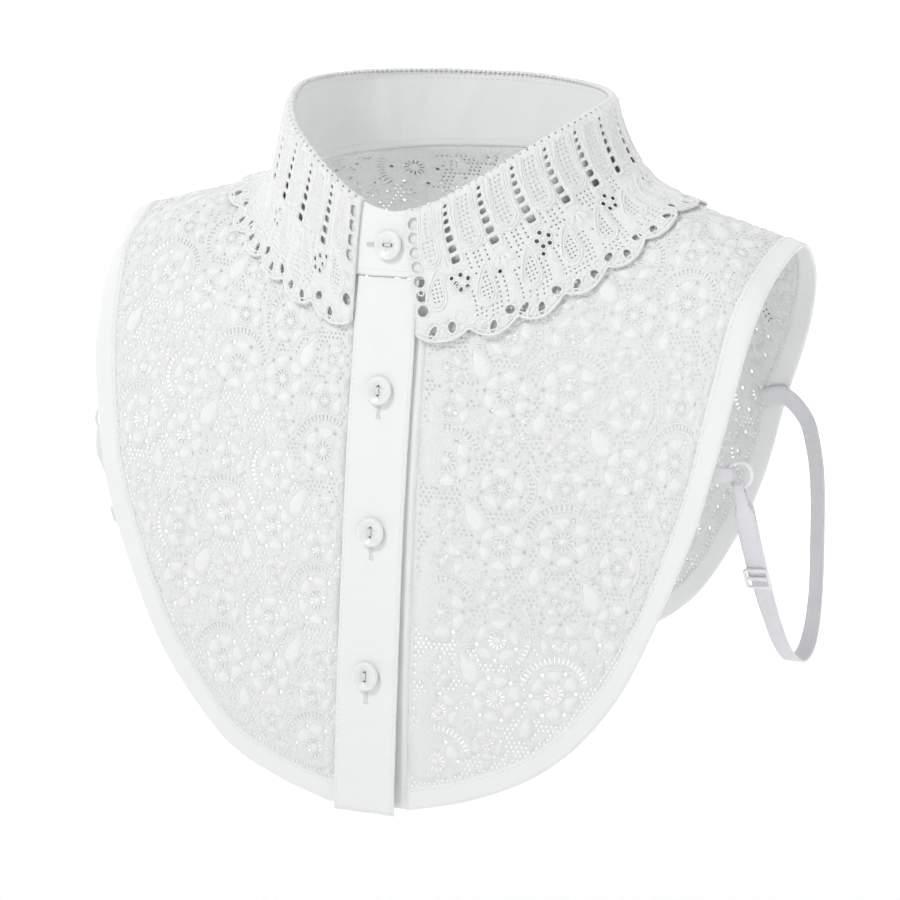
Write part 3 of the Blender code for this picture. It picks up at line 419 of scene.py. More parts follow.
def makePanel(name, sides, lines):
    origins, directions = panelFlat(sides, lines)
    lengths = np.array([clothLength(line) for line in lines])
    return {
        "name": name, "sides": np.array(sides), "lines": np.array(lines),
        "origins": origins, "directions": directions, "lengths": lengths,
    }


def placeOnPanel(panel, flat, height=0.0):  # flat pattern (n, 2) to points and outward directions
    flat = np.asarray(flat, float)
    height = np.broadcast_to(np.asarray(height, float), (len(flat),))
    if len(flat) > 20000:
        parts = [placeOnPanel(panel, flat[i : i + 20000], height[i : i + 20000]) for i in range(0, len(flat), 20000)]
        return np.vstack([part[0] for part in parts]), np.vstack([part[1] for part in parts])
    origins, directions = panel["origins"], panel["directions"]
    offset = flat[:, None, :] - origins[None]
    crossed = offset[..., 0] * directions[None, :, 1] - offset[..., 1] * directions[None, :, 0]
    column = np.clip((crossed > 0).sum(axis=1) - 1, 0, len(origins) - 2)
    rows = np.arange(len(flat))
    near, far = crossed[rows, column], crossed[rows, column + 1]
    share = np.clip(near / np.where(np.abs(near - far) < 1e-9, 1e-9, near - far), 0, 1)
    origin = origins[column] * (1 - share)[:, None] + origins[column + 1] * share[:, None]
    direction = unit(directions[column] * (1 - share)[:, None] + directions[column + 1] * share[:, None])
    along = np.einsum("ij,ij->i", flat - origin, direction)
    line = panel["lines"][column] * (1 - share) + panel["lines"][column + 1] * share
    side = np.where(share > 0.5, panel["sides"][column + 1], panel["sides"][column])
    points, outward = np.zeros((len(flat), 3)), np.zeros((len(flat), 3))
    for one in (1, -1):
        mask = side == one
        if mask.any():
            points[mask], outward[mask] = onCloth(one, line[mask], along[mask])
    return points + outward * height[:, None], outward


def panelEdge(panel, spans, columns, rows):  # the closed outline of a panel in its flat, in order
    count = len(panel["lines"])
    picks = np.linspace(0, count - 1, columns)
    low, high = [], []
    for pick in picks:
        i = min(int(pick), count - 2)
        f = pick - i
        origin = panel["origins"][i] * (1 - f) + panel["origins"][i + 1] * f
        direction = unit(panel["directions"][i] * (1 - f) + panel["directions"][i + 1] * f)
        line = panel["lines"][i] * (1 - f) + panel["lines"][i + 1] * f
        start, end = spans(line)
        low.append(origin + direction * start)
        high.append(origin + direction * end)
    first = [low[0] + (high[0] - low[0]) * share for share in np.linspace(0, 1, rows)[1:-1]]
    last = [low[-1] + (high[-1] - low[-1]) * share for share in np.linspace(0, 1, rows)[1:-1]]
    return np.array([*low, *last, *reversed(high), *reversed(first)])


# Motifs of the lace, each placed in the flat: a flower with a comb ring, a leaf, a scroll and a comb arc

def arc(centre, radius, start, end, count, squash=1.0):
    turns = np.linspace(start, end, count)
    return np.asarray(centre) + radius * np.column_stack([np.cos(turns), np.sin(turns) * squash])


def turned(points, angle):
    c, s = math.cos(angle), math.sin(angle)
    return np.asarray(points) @ np.array([[c, s], [-s, c]])


def petal(length, width, share=0.62, count=12):  # a closed petal that points along +x from the origin
    t = np.linspace(0, 2 * math.pi, count, endpoint=False)
    x = length / 2 * (1 - np.cos(t))
    fat = np.sin(t) * (1 + 0.35 * (np.clip(x / length, 0, 1) - 0.5) / 0.5)
    return np.column_stack([x, width / 2 * fat * np.where(x / length < share, np.sqrt(np.clip(x / length / share, 0, 1)), 1)])


class Pattern:  # what a patch of lace is made of, in its flat: holes to cut, raised pads and cords
    def __init__(self):
        self.holes, self.pads, self.cords, self.covers = [], [], [], []

    def add(self, other, place, angle, scale=1.0, flip=1):
        def put(points):
            return turned(np.asarray(points) * (scale, scale * flip), angle) + place
        self.holes += [put(h) for h in other.holes]
        self.pads += [(put(p), rise) for p, rise in other.pads]
        self.cords += [(put(c), size, closed) for c, size, closed in other.cords]
        self.covers += [put(c) for c in other.covers]


def slit(inner, outer, turn, width):  # a narrow opening that runs outwards from a centre
    c, s = math.cos(turn), math.sin(turn)
    out, across = np.array([c, s]), np.array([-s, c]) * width / 2
    return np.array([out * inner - across * 0.8, out * outer - across, out * outer + across, out * inner + across * 0.8])


def flower(radius, petals=6):
    made = Pattern()
    core, comb = radius * 0.17, radius * 0.40
    bars = 12 if radius > 8 else 8
    for i in range(bars):
        made.holes.append(slit(core + 0.35, comb, 2 * math.pi * (i + 0.5) / bars, 0.5 if radius > 8 else 0.42))
    made.cords.append((arc((0, 0), comb + 0.35, 0, 2 * math.pi, 19)[:-1], 0.30, True))
    made.pads.append((arc((0, 0), core, 0, 2 * math.pi, 9)[:-1], 0.55))
    length = radius - comb - 0.7
    width = 2 * math.pi * (comb + length * 0.62) / petals * 0.93
    for i in range(petals):
        turn = 2 * math.pi * (i + 0.25) / petals
        shape = turned(petal(length, width), turn) + (comb + 0.6) * np.array([math.cos(turn), math.sin(turn)])
        made.pads.append((shape, 0.5))
        made.cords.append((shape, 0.26, True))
        wedge = turn + math.pi / petals
        place = np.array([math.cos(wedge), math.sin(wedge)]) * radius * 0.93
        made.holes.append(place + arc((0, 0), radius * 0.085, 0, 2 * math.pi, 6)[:-1])
    made.covers.append(arc((0, 0), radius + 0.6, 0, 2 * math.pi, 25)[:-1])
    return made


def leafMotif(length, width):
    made = Pattern()
    shape = petal(length, width, 0.5, 14) - (length / 2, 0)
    made.pads.append((shape, 0.45))
    made.cords.append((shape, 0.27, True))
    for x in np.arange(-length * 0.28, length * 0.3, 2.1):
        reach = width * 0.5 * (1 - abs(2 * x / length) ** 1.6) - 1.2
        for way in (1, -1):
            if reach > 0.7:
                made.holes.append(np.array([(x - 0.35, way * 0.5), (x + 0.35, way * 0.5),
                                            (x + 0.9, way * reach), (x + 0.2, way * reach)]))
    made.covers.append(shape * 1.08)
    return made


def combArc(radius, start, end, wide=2.6):  # a fan of radial bars between two cords
    made = Pattern()
    inner = radius - wide
    step = 2.1 / radius
    for turn in np.arange(start + step / 2, end, step):
        made.holes.append(slit(inner + 0.3, radius - 0.3, turn, 0.5))
    made.cords.append((arc((0, 0), inner, start, end, max(8, int(14 * (end - start)))), 0.30, False))
    made.cords.append((arc((0, 0), radius, start, end, max(8, int(14 * (end - start)))), 0.34, False))
    made.covers.append(np.vstack([arc((0, 0), inner - 0.5, start, end, 14), arc((0, 0), radius + 0.5, end, start, 14)]))
    return made


def scroll(size, turns=1.35):  # a tapering curl with a pad at its eye
    made = Pattern()
    t = np.linspace(0, turns * 2 * math.pi, 26)
    reach = size * (1 - 0.8 * t / t[-1])
    path = np.column_stack([reach * np.cos(t), reach * np.sin(t)])
    made.cords.append((path, 0.42, False))
    made.cords.append((path[:18] * 1.22, 0.30, False))
    made.covers.append(arc((0, 0), size * 0.9, 0, 2 * math.pi, 13)[:-1])
    made.pads.append((arc(path[-1], size * 0.18, 0, 2 * math.pi, 9)[:-1], 0.5))
    return made


motifs = {
    "bigFlower": flower(10.2, 6), "flower": flower(8.8, 5), "smallFlower": flower(6.2, 5),
    "leaf": leafMotif(15.0, 6.6), "smallLeaf": leafMotif(10.5, 4.8),
    "fan": combArc(13.2, 0.0, 1.9), "longFan": combArc(15.5, 0.0, 2.5, 3.0), "scroll": scroll(5.4),
}
cell = {"width": 47.0, "height": 62.0}  # the pattern repeats, each second column half a height lower
cellMotifs = (
    # motif, x, y, turn in degrees, scale, flip
    ("bigFlower", 11.5, 12.0, 10, 1.0, 1),
    ("longFan", 11.5, 12.0, 200, 1.0, 1),
    ("flower", 34.5, 22.0, 40, 1.0, 1),
    ("fan", 34.5, 22.0, -60, 1.0, 1),
    ("smallFlower", 33.0, 3.0, 0, 1.0, 1),
    ("smallFlower", 10.0, 36.0, 20, 1.0, 1),
    ("flower", 12.0, 53.0, 75, 0.92, 1),
    ("bigFlower", 35.0, 46.0, 25, 0.95, 1),
    ("leaf", 23.0, 33.5, 62, 1.0, 1),
    ("leaf", 23.0, 3.0, 118, 0.86, 1),
    ("smallLeaf", 44.0, 12.0, 70, 1.0, 1),
    ("smallLeaf", 1.0, 25.5, 100, 1.0, 1),
    ("leaf", 0.5, 45.5, 95, 0.85, 1),
    ("smallLeaf", 23.5, 46.0, 15, 1.0, 1),
    ("scroll", 22.5, 21.5, 30, 0.85, 1),
    ("scroll", 24.0, 57.5, 200, 0.9, -1),
    ("scroll", 45.0, 34.0, 120, 0.8, 1),
)
net = {"pitch": 2.1, "radius": 0.46, "hem": 5.0}  # real net holes are about this size; the hem has a bare strip


def inParts(test, places, edges):  # runs a test over many places, a few at a time
    step = max(1, 3000000 // edges)
    if len(places) <= step:
        return test(places)
    return np.concatenate([test(places[i : i + step]) for i in range(0, len(places), step)])


def insideMask(outline, places):  # which places are inside a closed outline
    outline, places = np.asarray(outline, float), np.asarray(places, float)
    ax, ay = outline[:, 0], outline[:, 1]
    bx, by = np.roll(ax, -1), np.roll(ay, -1)
    rise = np.where(np.abs(by - ay) > 1e-12, by - ay, 1e-12)

    def test(some):
        x, y = some[:, :1], some[:, 1:]
        crosses = ((ay > y) != (by > y)) & (x < (bx - ax) * (y - ay) / rise + ax)
        return crosses.sum(axis=1) % 2 == 1

    return inParts(test, places, len(outline))


def nearEdge(outline, places, gap):  # which places are nearer than a gap to an outline
    outline, places = np.asarray(outline, float), np.asarray(places, float)
    way = np.roll(outline, -1, axis=0) - outline
    size = np.maximum((way**2).sum(axis=1), 1e-12)

    def test(some):
        offset = some[:, None, :] - outline[None]
        share = np.clip((offset * way[None]).sum(axis=2) / size, 0, 1)
        return (((offset - share[..., None] * way[None]) ** 2).sum(axis=2) < gap * gap).any(axis=1)

    return inParts(test, places, len(outline) * 2)


def netHoles(low, high, sides=6):
    holes = []
    pitch = net["pitch"]
    ring = arc((0, 0), net["radius"], math.pi / sides, math.pi / sides + 2 * math.pi, sides + 1)[:-1]
    for row, y in enumerate(np.arange(low[1], high[1], pitch * 0.866)):
        for x in np.arange(low[0] + (row % 2) * pitch / 2, high[0], pitch):
            holes.append(ring + (x, y))
    return holes


def runsOf(keep, closed):  # stretches of a cord that are kept, as lists of point numbers
    numbers = list(range(len(keep)))
    if all(keep):
        return [(numbers, closed)]
    if closed:
        first = int(np.argmin(keep))
        numbers = numbers[first:] + numbers[:first]
    runs, run = [], []
    for number in numbers:
        if keep[number]:
            run.append(number)
        elif run:
            runs.append((run, False))
            run = []
    if run:
        runs.append((run, False))
    return [(run, shut) for run, shut in runs if len(run) > 2]


def fillPattern(low, high, table, size):  # the repeating motifs over a stretch of the flat, the first ones on top
    pattern, placed = Pattern(), []
    for motif, x, y, turn, scale, flip in table:
        for column in range(math.floor(low[0] / size["width"]) - 1, math.ceil(high[0] / size["width"]) + 1):
            drop = (column % 2) * size["height"] / 2
            for row in range(math.floor(low[1] / size["height"]) - 2, math.ceil(high[1] / size["height"]) + 1):
                place = np.array([x + column * size["width"], y + row * size["height"] + drop])
                if (place < np.array(low) - 12).any() or (place > np.array(high) + 12).any():
                    continue
                single = Pattern()
                single.add(motifs[motif], place, math.radians(turn), scale, flip)
                shapes = [*single.holes, *[pad for pad, rise in single.pads], *[cord[0] for cord in single.cords]]
                places = np.vstack(shapes)
                covered = np.zeros(len(places), bool)
                for centre, cover in placed:
                    if abs(centre[0] - place[0]) < 32 and abs(centre[1] - place[1]) < 32:
                        covered |= insideMask(cover, places)
                ends = np.cumsum([len(shape) for shape in shapes])
                free = iter(np.split(~covered, ends[:-1]))
                pattern.holes += [hole for hole in single.holes if next(free).all()]
                pattern.pads += [(pad, rise) for pad, rise in single.pads if next(free).all()]
                for cord, wide, closed in single.cords:
                    for run, shut in runsOf(list(next(free)), closed):
                        pattern.cords.append((cord[run], wide, shut))
                pattern.covers += single.covers
                placed += [(place, cover) for cover in single.covers]
    return pattern


def leftHanded(loop):  # whether a loop runs clockwise
    loop = np.asarray(loop)
    after = np.roll(loop, -1, axis=0)
    return float(np.sum(loop[:, 0] * after[:, 1] - after[:, 0] * loop[:, 1])) < 0


def cutSheet(outline, holes, extra=()):  # triangles of a flat sheet with its holes left out
    outline = outline[::-1] if leftHanded(outline) else outline
    holes = [hole[::-1] if leftHanded(hole) else hole for hole in holes]
    corners = [tuple(p) for p in outline]
    loops = [list(range(len(outline)))]
    for hole in holes:
        loops.append(list(range(len(corners), len(corners) + len(hole))))
        corners += [tuple(p) for p in hole]
    corners += [tuple(p) for p in extra]
    made = geometry.delaunay_2d_cdt([Vector(c) for c in corners], [], loops, 0, 1e-5, True)
    flat, faces, origins = np.array([tuple(v) for v in made[0]]), made[2], made[5]
    kept = [face for face, origin in zip(faces, origins) if len(origin) == 1 and origin[0] == 0]
    kept = np.array([face for face in kept if len(face) == 3])
    used, kept = np.unique(kept, return_inverse=True)
    return flat[used], kept.reshape(-1, 3)


def facingOut(points, faces, outward):  # turns over each face that looks inwards
    faces = np.asarray(faces)
    first, second, third = (points[faces[:, i]] for i in (0, 1, 2))
    inwards = np.einsum("ij,ij->i", np.cross(second - first, third - first), outward[faces[:, 0]]) < 0
    faces[inwards] = faces[inwards][:, ::-1]
    return faces


def addWall(name, place, flat, triangles, thick, material, height=0.0):  # a sheet of two skins, closed all round
    triangles = np.asarray(triangles)
    middle, outward = place(flat, height)
    triangles = facingOut(middle, triangles, outward)
    thick = np.broadcast_to(np.asarray(thick, float), (len(flat),))[:, None]
    count = len(flat)
    size = triangles.shape[1]
    edges = np.vstack([triangles[:, [i, (i + 1) % size]] for i in range(size)])
    key = np.sort(edges, axis=1)
    _, index, uses = np.unique(key[:, 0] * count + key[:, 1], return_index=True, return_counts=True)
    rim = edges[index[uses == 1]]
    rimFaces = np.column_stack([rim[:, 1], rim[:, 0], rim[:, 0] + count, rim[:, 1] + count])
    faces = [*triangles.tolist(), *(triangles[:, ::-1] + count).tolist(), *rimFaces.tolist()]
    points = np.vstack([middle + outward * thick / 2, middle - outward * thick / 2])
    return addMesh(name, points, faces, material, np.vstack([flat, flat]))


def raised(name, place, pattern, lift, material, sink=0.25):  # the pads and cords that stand on a sheet
    flats, heights, faces, base = [], [], [], 0
    for shape, rise in pattern.pads:
        shape = np.asarray(shape, float)
        middle, count = shape.mean(axis=0), len(shape)
        flats.append(np.vstack([shape, middle + (shape - middle) * 0.62, middle[None]]))
        heights.append(np.concatenate([np.full(count, -sink), np.full(count, rise * 0.8), [rise]]))
        for i in range(count):
            j = (i + 1) % count
            faces.append((base + i, base + j, base + count + j, base + count + i))
            faces.append((base + count + i, base + count + j, base + 2 * count, base + 2 * count))
        base += 2 * count + 1
    padFlat, padHeight = np.vstack(flats), np.concatenate(heights)
    padPoints, padOut = place(padFlat, padHeight + lift)
    padFaces = facingOut(padPoints, faces, padOut)
    paths = np.vstack([path for path, size, closed in pattern.cords])
    laid, outward = place(paths, lift)
    points, cordFaces, uv, start = [], [], [], 0
    for path, size, closed in pattern.cords:
        count = len(path)
        at, out = laid[start : start + count], outward[start : start + count]
        ahead = np.roll(at, -1, axis=0) - np.roll(at, 1, axis=0)
        if not closed:
            ahead[0], ahead[-1] = at[1] - at[0], at[-1] - at[-2]
        across = unit(np.cross(out, ahead))
        below = sink + 0.1
        points.append(np.vstack([at + across * size - out * below, at + across * size * 0.8 + out * size * 0.8,
                                 at - across * size * 0.8 + out * size * 0.8, at - across * size - out * below]))
        uv.append(np.vstack([path] * 4))
        here = base + 4 * start
        for i in range(count if closed else count - 1):
            j = (i + 1) % count
            for k in range(3):
                a, b = here + k * count, here + (k + 1) * count
                cordFaces.append((a + i, b + i, b + j, a + j))
        start += count
    allFaces = [tuple(dict.fromkeys(f)) for f in padFaces.tolist()] + cordFaces
    return addMesh(name, np.vstack([padPoints, *points]), allFaces, material, np.vstack([padFlat, *uv]))


def hemSlant(line):  # how squarely a line meets the hem
    length = clothLength(line)
    points, along = clothLine(round(float(line), 4))
    before = np.array([np.interp(length - 6, along, points[:, axis]) for axis in range(3)])
    down = unit(points[-1] - before)
    near = [clothLine(round(float(line + step), 4))[0][-1] for step in (-0.1, 0.1)]
    return max(float(np.linalg.norm(np.cross(down, unit(near[1] - near[0])))), 0.35)


bindingWidth = 9.0
under = 2.0  # how far the lace runs on under the binding


def laceSpan(line):
    return 0.1, clothLength(line) - (bindingWidth - under) / hemSlant(line)


def buildLace(panel, name, columns, netSides, bare=0.0):  # bare is a strip of net without motifs
    outline = panelEdge(panel, laceSpan, columns, 60)
    low, high = outline.min(axis=0), outline.max(axis=0)
    pattern = fillPattern(low, high, cellMotifs, cell)
    if bare:
        pattern.holes = [hole for hole in pattern.holes if hole[:, 0].min() > bare]
        pattern.pads = [(pad, rise) for pad, rise in pattern.pads if pad[:, 0].min() > bare - 1]
        pattern.cords = [(path[run], size, shut) for path, size, closed in pattern.cords
                         for run, shut in runsOf(path[:, 0] > bare - 2, closed)]
        pattern.covers = [cover for cover in pattern.covers if cover[:, 0].mean() > bare]
    hem = outline[columns + 58 : 2 * columns + 58]  # the outline runs down one side, along the hem and up again
    hem = np.vstack([hem, hem[::-1]])
    away = iter(np.split(~nearEdge(hem, np.vstack(pattern.holes), net["hem"] + 0.7),
                         np.cumsum([len(hole) for hole in pattern.holes])[:-1]))
    pattern.holes = [hole for hole in pattern.holes if next(away).all()]
    meshes = netHoles(low, high, netSides)
    middles = np.array([hole.mean(axis=0) for hole in meshes])
    covered = np.zeros(len(middles), bool)
    for cover in pattern.covers:
        covered |= insideMask(cover, middles) | nearEdge(cover, middles, 1.05)
    covered &= ~nearEdge(hem, middles, net["hem"] - 0.7)  # bare net beside the binding
    holes = pattern.holes + [hole for hole, hidden in zip(meshes, covered) if not hidden]
    corners = np.vstack(holes)
    good = insideMask(outline, corners) & ~nearEdge(outline, corners, 1.6)
    seam = outline[:columns]
    good &= ~nearEdge(np.vstack([seam, seam[::-1]]), corners, 5.0)  # the seam allowance stays whole
    kept, start = [], 0
    for hole in holes:
        if good[start : start + len(hole)].all():
            kept.append(hole)
        start += len(hole)
    grid = np.array([(x, y) for x in np.arange(low[0], high[0], 4.5) for y in np.arange(low[1], high[1], 4.5)])
    grid = grid[insideMask(outline, grid) & ~nearEdge(outline, grid, 1.0)]
    flat, triangles = cutSheet(outline, kept, grid)
    place = functools.partial(placeOnPanel, panel)
    ground = addWall(name + "_cloth", place, flat, triangles, 0.55, looks["lace"])
    area = insideMask(outline, grid).sum() * 4.5**2
    pattern.pads = [(pad, rise) for pad, rise in pattern.pads
                    if insideMask(outline, pad).all() and not nearEdge(outline, pad, 2.6).any()
                    and not nearEdge(hem, pad, net["hem"] + 0.5).any()]
    cords = []
    for path, size, closed in pattern.cords:
        inside = insideMask(outline, path) & ~nearEdge(outline, path, 2.6) & ~nearEdge(hem, path, net["hem"] + 0.2)
        cords += [(path[run], size, shut) for run, shut in runsOf(inside, closed)]
    pattern.cords = cords
    top = raised(name + "_cords", place, pattern, 0.28, looks["cord"])
    print(name, len(ground.data.polygons), len(top.data.polygons), "faces, flat", np.round(high - low), round(area), flush=True)
    return ground, top, (high - low) * mm, area * mm * mm


shoulder = 10.0
fronts = {}
for side, word, start in ((1, "left", 1.0), (-1, "right", 14.3 / flatFront)):
    lines = np.concatenate([[start], np.linspace(start, shoulder - 0.01, 96)[1:]])
    panel = makePanel(word, [side] * len(lines), lines)
    fronts[word] = buildLace(panel, "lace_front_" + word, 120, 6, 9.0 if side > 0 else 0.0)
lines = np.linspace(shoulder + 0.01, lastLine, 92)
backPanel = makePanel("back", [1] * 92 + [-1] * 92, np.concatenate([lines, lines[::-1]]))
back = buildLace(backPanel, "lace_back", 200, 5)


# Stitches: a row of small threads along a path, or dense bars across it, by one node tree

def stitchTree():
    tree = bpy.data.node_groups.new("stitch_row", "GeometryNodeTree")
    sockets = {}
    for label, kind in (("Path", "NodeSocketGeometry"), ("Spacing", "NodeSocketFloat"), ("Length", "NodeSocketFloat"),
                        ("Thread", "NodeSocketFloat"), ("Across", "NodeSocketFloat"), ("Finish", "NodeSocketMaterial")):
        sockets[label] = tree.interface.new_socket(label, in_out="INPUT", socket_type=kind).identifier
    tree.interface.new_socket("Stitches", in_out="OUTPUT", socket_type="NodeSocketGeometry")
    given = tree.nodes.new("NodeGroupInput")
    done = tree.nodes.new("NodeGroupOutput")
    curve = addNode(tree, "GeometryNodeMeshToCurve", {}, {0: given.outputs["Path"]})
    even = addNode(tree, "GeometryNodeResampleCurve", {"mode": "LENGTH"},
                   {"Curve": curve.outputs[0], "Length": given.outputs["Spacing"]})
    facing = addNode(tree, "GeometryNodeInputNamedAttribute", {"data_type": "FLOAT_VECTOR"}, {"Name": "facing"})
    tangent = addNode(tree, "GeometryNodeInputTangent")
    first = addNode(tree, "FunctionNodeAlignEulerToVector", {"axis": "Z"}, {"Vector": facing.outputs[0]})
    second = addNode(tree, "FunctionNodeAlignEulerToVector", {"axis": "X", "pivot_axis": "Z"},
                     {"Rotation": first.outputs[0], "Vector": tangent.outputs[0]})
    turn = addNode(tree, "ShaderNodeCombineXYZ", {}, {"Z": given.outputs["Across"]})
    third = addNode(tree, "FunctionNodeRotateEuler", {"space": "LOCAL"},
                    {"Rotation": second.outputs[0], "Rotate By": turn.outputs[0]})
    bead = addNode(tree, "GeometryNodeMeshUVSphere", {}, {"Segments": 6, "Rings": 4, "Radius": 1.0})
    size = addNode(tree, "ShaderNodeCombineXYZ", {}, {"X": given.outputs["Length"], "Y": given.outputs["Thread"],
                                                      "Z": given.outputs["Thread"]})
    rows = addNode(tree, "GeometryNodeInstanceOnPoints", {}, {"Points": even.outputs[0], "Instance": bead.outputs[0],
                                                              "Rotation": third.outputs[0], "Scale": size.outputs[0]})
    real = addNode(tree, "GeometryNodeRealizeInstances", {}, {0: rows.outputs[0]})
    dressed = addNode(tree, "GeometryNodeSetMaterial", {}, {0: real.outputs[0], "Material": given.outputs["Finish"]})
    tree.links.new(dressed.outputs[0], done.inputs[0])
    return tree, sockets


stitchRows, stitchInputs = stitchTree()


def stitches(name, path, facing, spacing=2.4, length=1.7, thread=0.17, across=False):  # all in millimetres
    path, facing = np.asarray(path), np.asarray(facing)
    mesh = bpy.data.meshes.new(name + "_path")
    mesh.from_pydata([tuple(p) for p in path * mm], [(i, i + 1) for i in range(len(path) - 1)], [])
    layer = mesh.attributes.new("facing", "FLOAT_VECTOR", "POINT")
    layer.data.foreach_set("vector", facing.astype(np.float32).ravel())
    holder = bpy.data.objects.new(name + "_path", mesh)
    bpy.context.scene.collection.objects.link(holder)
    modifier = holder.modifiers.new("stitches", "NODES")
    modifier.node_group = stitchRows
    values = {"Spacing": spacing * mm, "Length": length / 2 * mm, "Thread": thread * mm,
              "Across": math.pi / 2 if across else 0.0, "Finish": looks["thread"]}
    for label, value in values.items():
        modifier[stitchInputs[label]] = value
    made = asPlainMesh(holder, modifier, name)
    made.data.polygons.foreach_set("use_smooth", [True] * len(made.data.polygons))
    return made


# Plain cloth parts: a wall with softly rounded edges, from a place on the form for each (u, v)

def softSheet(name, place, us, vs, thick, material, edge=0.35, closeU=False):  # us by vs grid of flat places
    grid = np.array([(u, v) for u in us for v in vs])
    columns, rows = len(us), len(vs)
    index = np.arange(columns * rows).reshape(columns, rows)
    quads = np.stack([index[:-1, :-1], index[1:, :-1], index[1:, 1:], index[:-1, 1:]], axis=-1).reshape(-1, 4)
    full = np.full((columns, rows), thick)
    full[:, [0, -1]] *= edge
    full[[0, -1], :] = thick * edge
    return addWall(name, place, grid, quads, full.ravel(), material)


def edged(low, high, count, rim=0.5):  # even steps with one close to each end, for a rounded edge
    return np.array([low, low + rim, *np.linspace(low, high, count)[1:-1], high - rim, high])


def bindingPlace(sides, lines, spans, lift=0.0):  # (column number, share down) to the form
    def place(flat, height=0.0):
        points, outward = np.zeros((len(flat), 3)), np.zeros((len(flat), 3))
        count = len(lines)
        for i, (u, v) in enumerate(flat):
            line = np.interp(u, range(count), lines)
            side = sides[int(round(u))]
            start, end = spans[int(round(u))] if abs(u - round(u)) < 1e-6 else spans[int(u)]
            points[i], outward[i] = onCloth(side, line, start + (end - start) * v)
        return points + outward * (np.broadcast_to(height, (len(flat),))[:, None] + lift), outward
    return place


bindingShares = (0.0, 0.05, 0.2, 0.4, 0.6, 0.8, 0.95, 1.0)


def buildBinding(name, sides, lines, stitchAt=0.14):
    lengths = [clothLength(line) for line in lines]
    spans = [(length - bindingWidth / hemSlant(line), length) for line, length in zip(lines, lengths)]
    place = bindingPlace(sides, lines, spans)
    tape = softSheet(name + "_tape", place, np.arange(len(lines), dtype=float), bindingShares, 1.7, looks["poplin"], 0.45)
    row = np.array([(float(i), stitchAt) for i in range(1, len(lines) - 1)])
    path, facing = place(row, 0.9)
    inside, _ = place(row, -0.9)
    sewn = [stitches(name + "_sewing", path, facing), stitches(name + "_sewing_in", inside, -facing)]
    return tape, joinPieces(name + "_stitches", sewn)


bindings = {}
for side, word, start in ((1, "left", 1.0), (-1, "right", 14.3 / flatFront)):
    lines = np.linspace(start, shoulder - 0.005, 110)
    bindings[word] = buildBinding("binding_front_" + word, [side] * 110, lines)
half = np.linspace(shoulder + 0.005, lastLine, 90)
bindings["back"] = buildBinding("binding_back", [1] * 90 + [-1] * 89, np.concatenate([half, half[-2::-1]]))
print("bindings made", flush=True)


# Placket: the top band of the right front over the band of the left one

placket = {"half": 14.0, "overhang": 2.5, "lift": 1.25, "flare": 1.6, "under": 4.2, "thick": 1.25}


def placketLift(along):
    return placket["lift"] + placket["flare"] * smoothStep((along / clothLength(1.0) - 0.55) / 0.45)


def placketPlace(flat, height=0.0):  # x across in mm, distance down in mm
    flat = np.asarray(flat, float)
    length = clothLength(1.0)
    points, outward = onCloth(1, flat[:, 0] / flatFront, np.minimum(flat[:, 1], length - 0.05))
    beyond = np.maximum(flat[:, 1] - length, 0)
    ripple = 0.16 * np.sin(flat[:, 1] * 0.055 + flat[:, 0] * 0.09) + 0.08 * np.sin(flat[:, 1] * 0.23 - flat[:, 0] * 0.2)
    points = points + outward * (placketLift(flat[:, 1]) + ripple + height)[:, None]
    points[:, 2] -= beyond
    return points, outward


def underPlace(flat, height=0.0):
    flat = np.asarray(flat, float)
    points, outward = onCloth(1, flat[:, 0] / flatFront, flat[:, 1])
    return points + outward * (np.broadcast_to(height, (len(flat),)) - placket["lift"])[:, None], outward


frontLength = clothLength(1.0)
placketTop = softSheet("placket_top_cloth", placketPlace, edged(-placket["half"], placket["half"], 17),
                       edged(0.4, frontLength + placket["overhang"], 90), placket["thick"], looks["poplin"], 0.4)
underFirst = flatFront - 0.3 - 2 * (placket["half"] - placket["under"] / 2)
placketUnder = softSheet("placket_under_cloth", underPlace, edged(underFirst, flatFront - 0.3, 13),
                         edged(0.4, frontLength - 0.1, 80), 1.3, looks["poplin"], 0.4)


def rowOn(name, place, ends, lift, steps=80, **sizes):
    (x0, y0), (x1, y1) = ends
    row = np.column_stack([np.linspace(x0, x1, steps), np.linspace(y0, y1, steps)])
    path, facing = place(row, lift)
    return stitches(name, path, facing, **sizes)


edgeX, low, high = placket["half"] - 1.3, 2.0, frontLength + placket["overhang"] - 1.2
placketSewing = joinPieces("placket_stitches", [
    rowOn("row1", placketPlace, ((-edgeX, low), (-edgeX, high)), placket["thick"] / 2),
    rowOn("row2", placketPlace, ((edgeX, low), (edgeX, high)), placket["thick"] / 2),
    rowOn("row3", placketPlace, ((-edgeX, high), (edgeX, high)), placket["thick"] / 2, 12),
    rowOn("row4", underPlace, ((flatFront - 1.6, low), (flatFront - 1.6, frontLength - 1.5)), 0.65),
])
print("placket made", flush=True)


# Stand: a plain band round the neck, its ends lapping at the front

stand = {"lapAngle": 12.0, "lapStep": 1.25, "belly": 0.3, "corner": 7.0, "thick": 1.5}


def lineAtAngle(angle):
    if angle < clothLines[1][0]:
        return neck["halfWidth"] * math.sin(math.radians(angle)) / flatFront
    return float(np.interp(angle, [row[0] for row in clothLines], range(len(clothLines))))


def standStep(angle):
    return -math.copysign(stand["lapStep"], angle) * float(smoothStep((abs(angle) - 128) / 34))


def seamRise(angle):
    line = lineAtAngle(min(angle, 180.0))
    dip = np.interp(line, range(len(clothLines)), [row[5] for row in clothLines])
    overPlacket = 0.45 * (1 - float(smoothStep((angle - 16) / 8)))
    return 0.24 + overPlacket + 1.2 * 0.62 * math.cos(math.radians(dip))


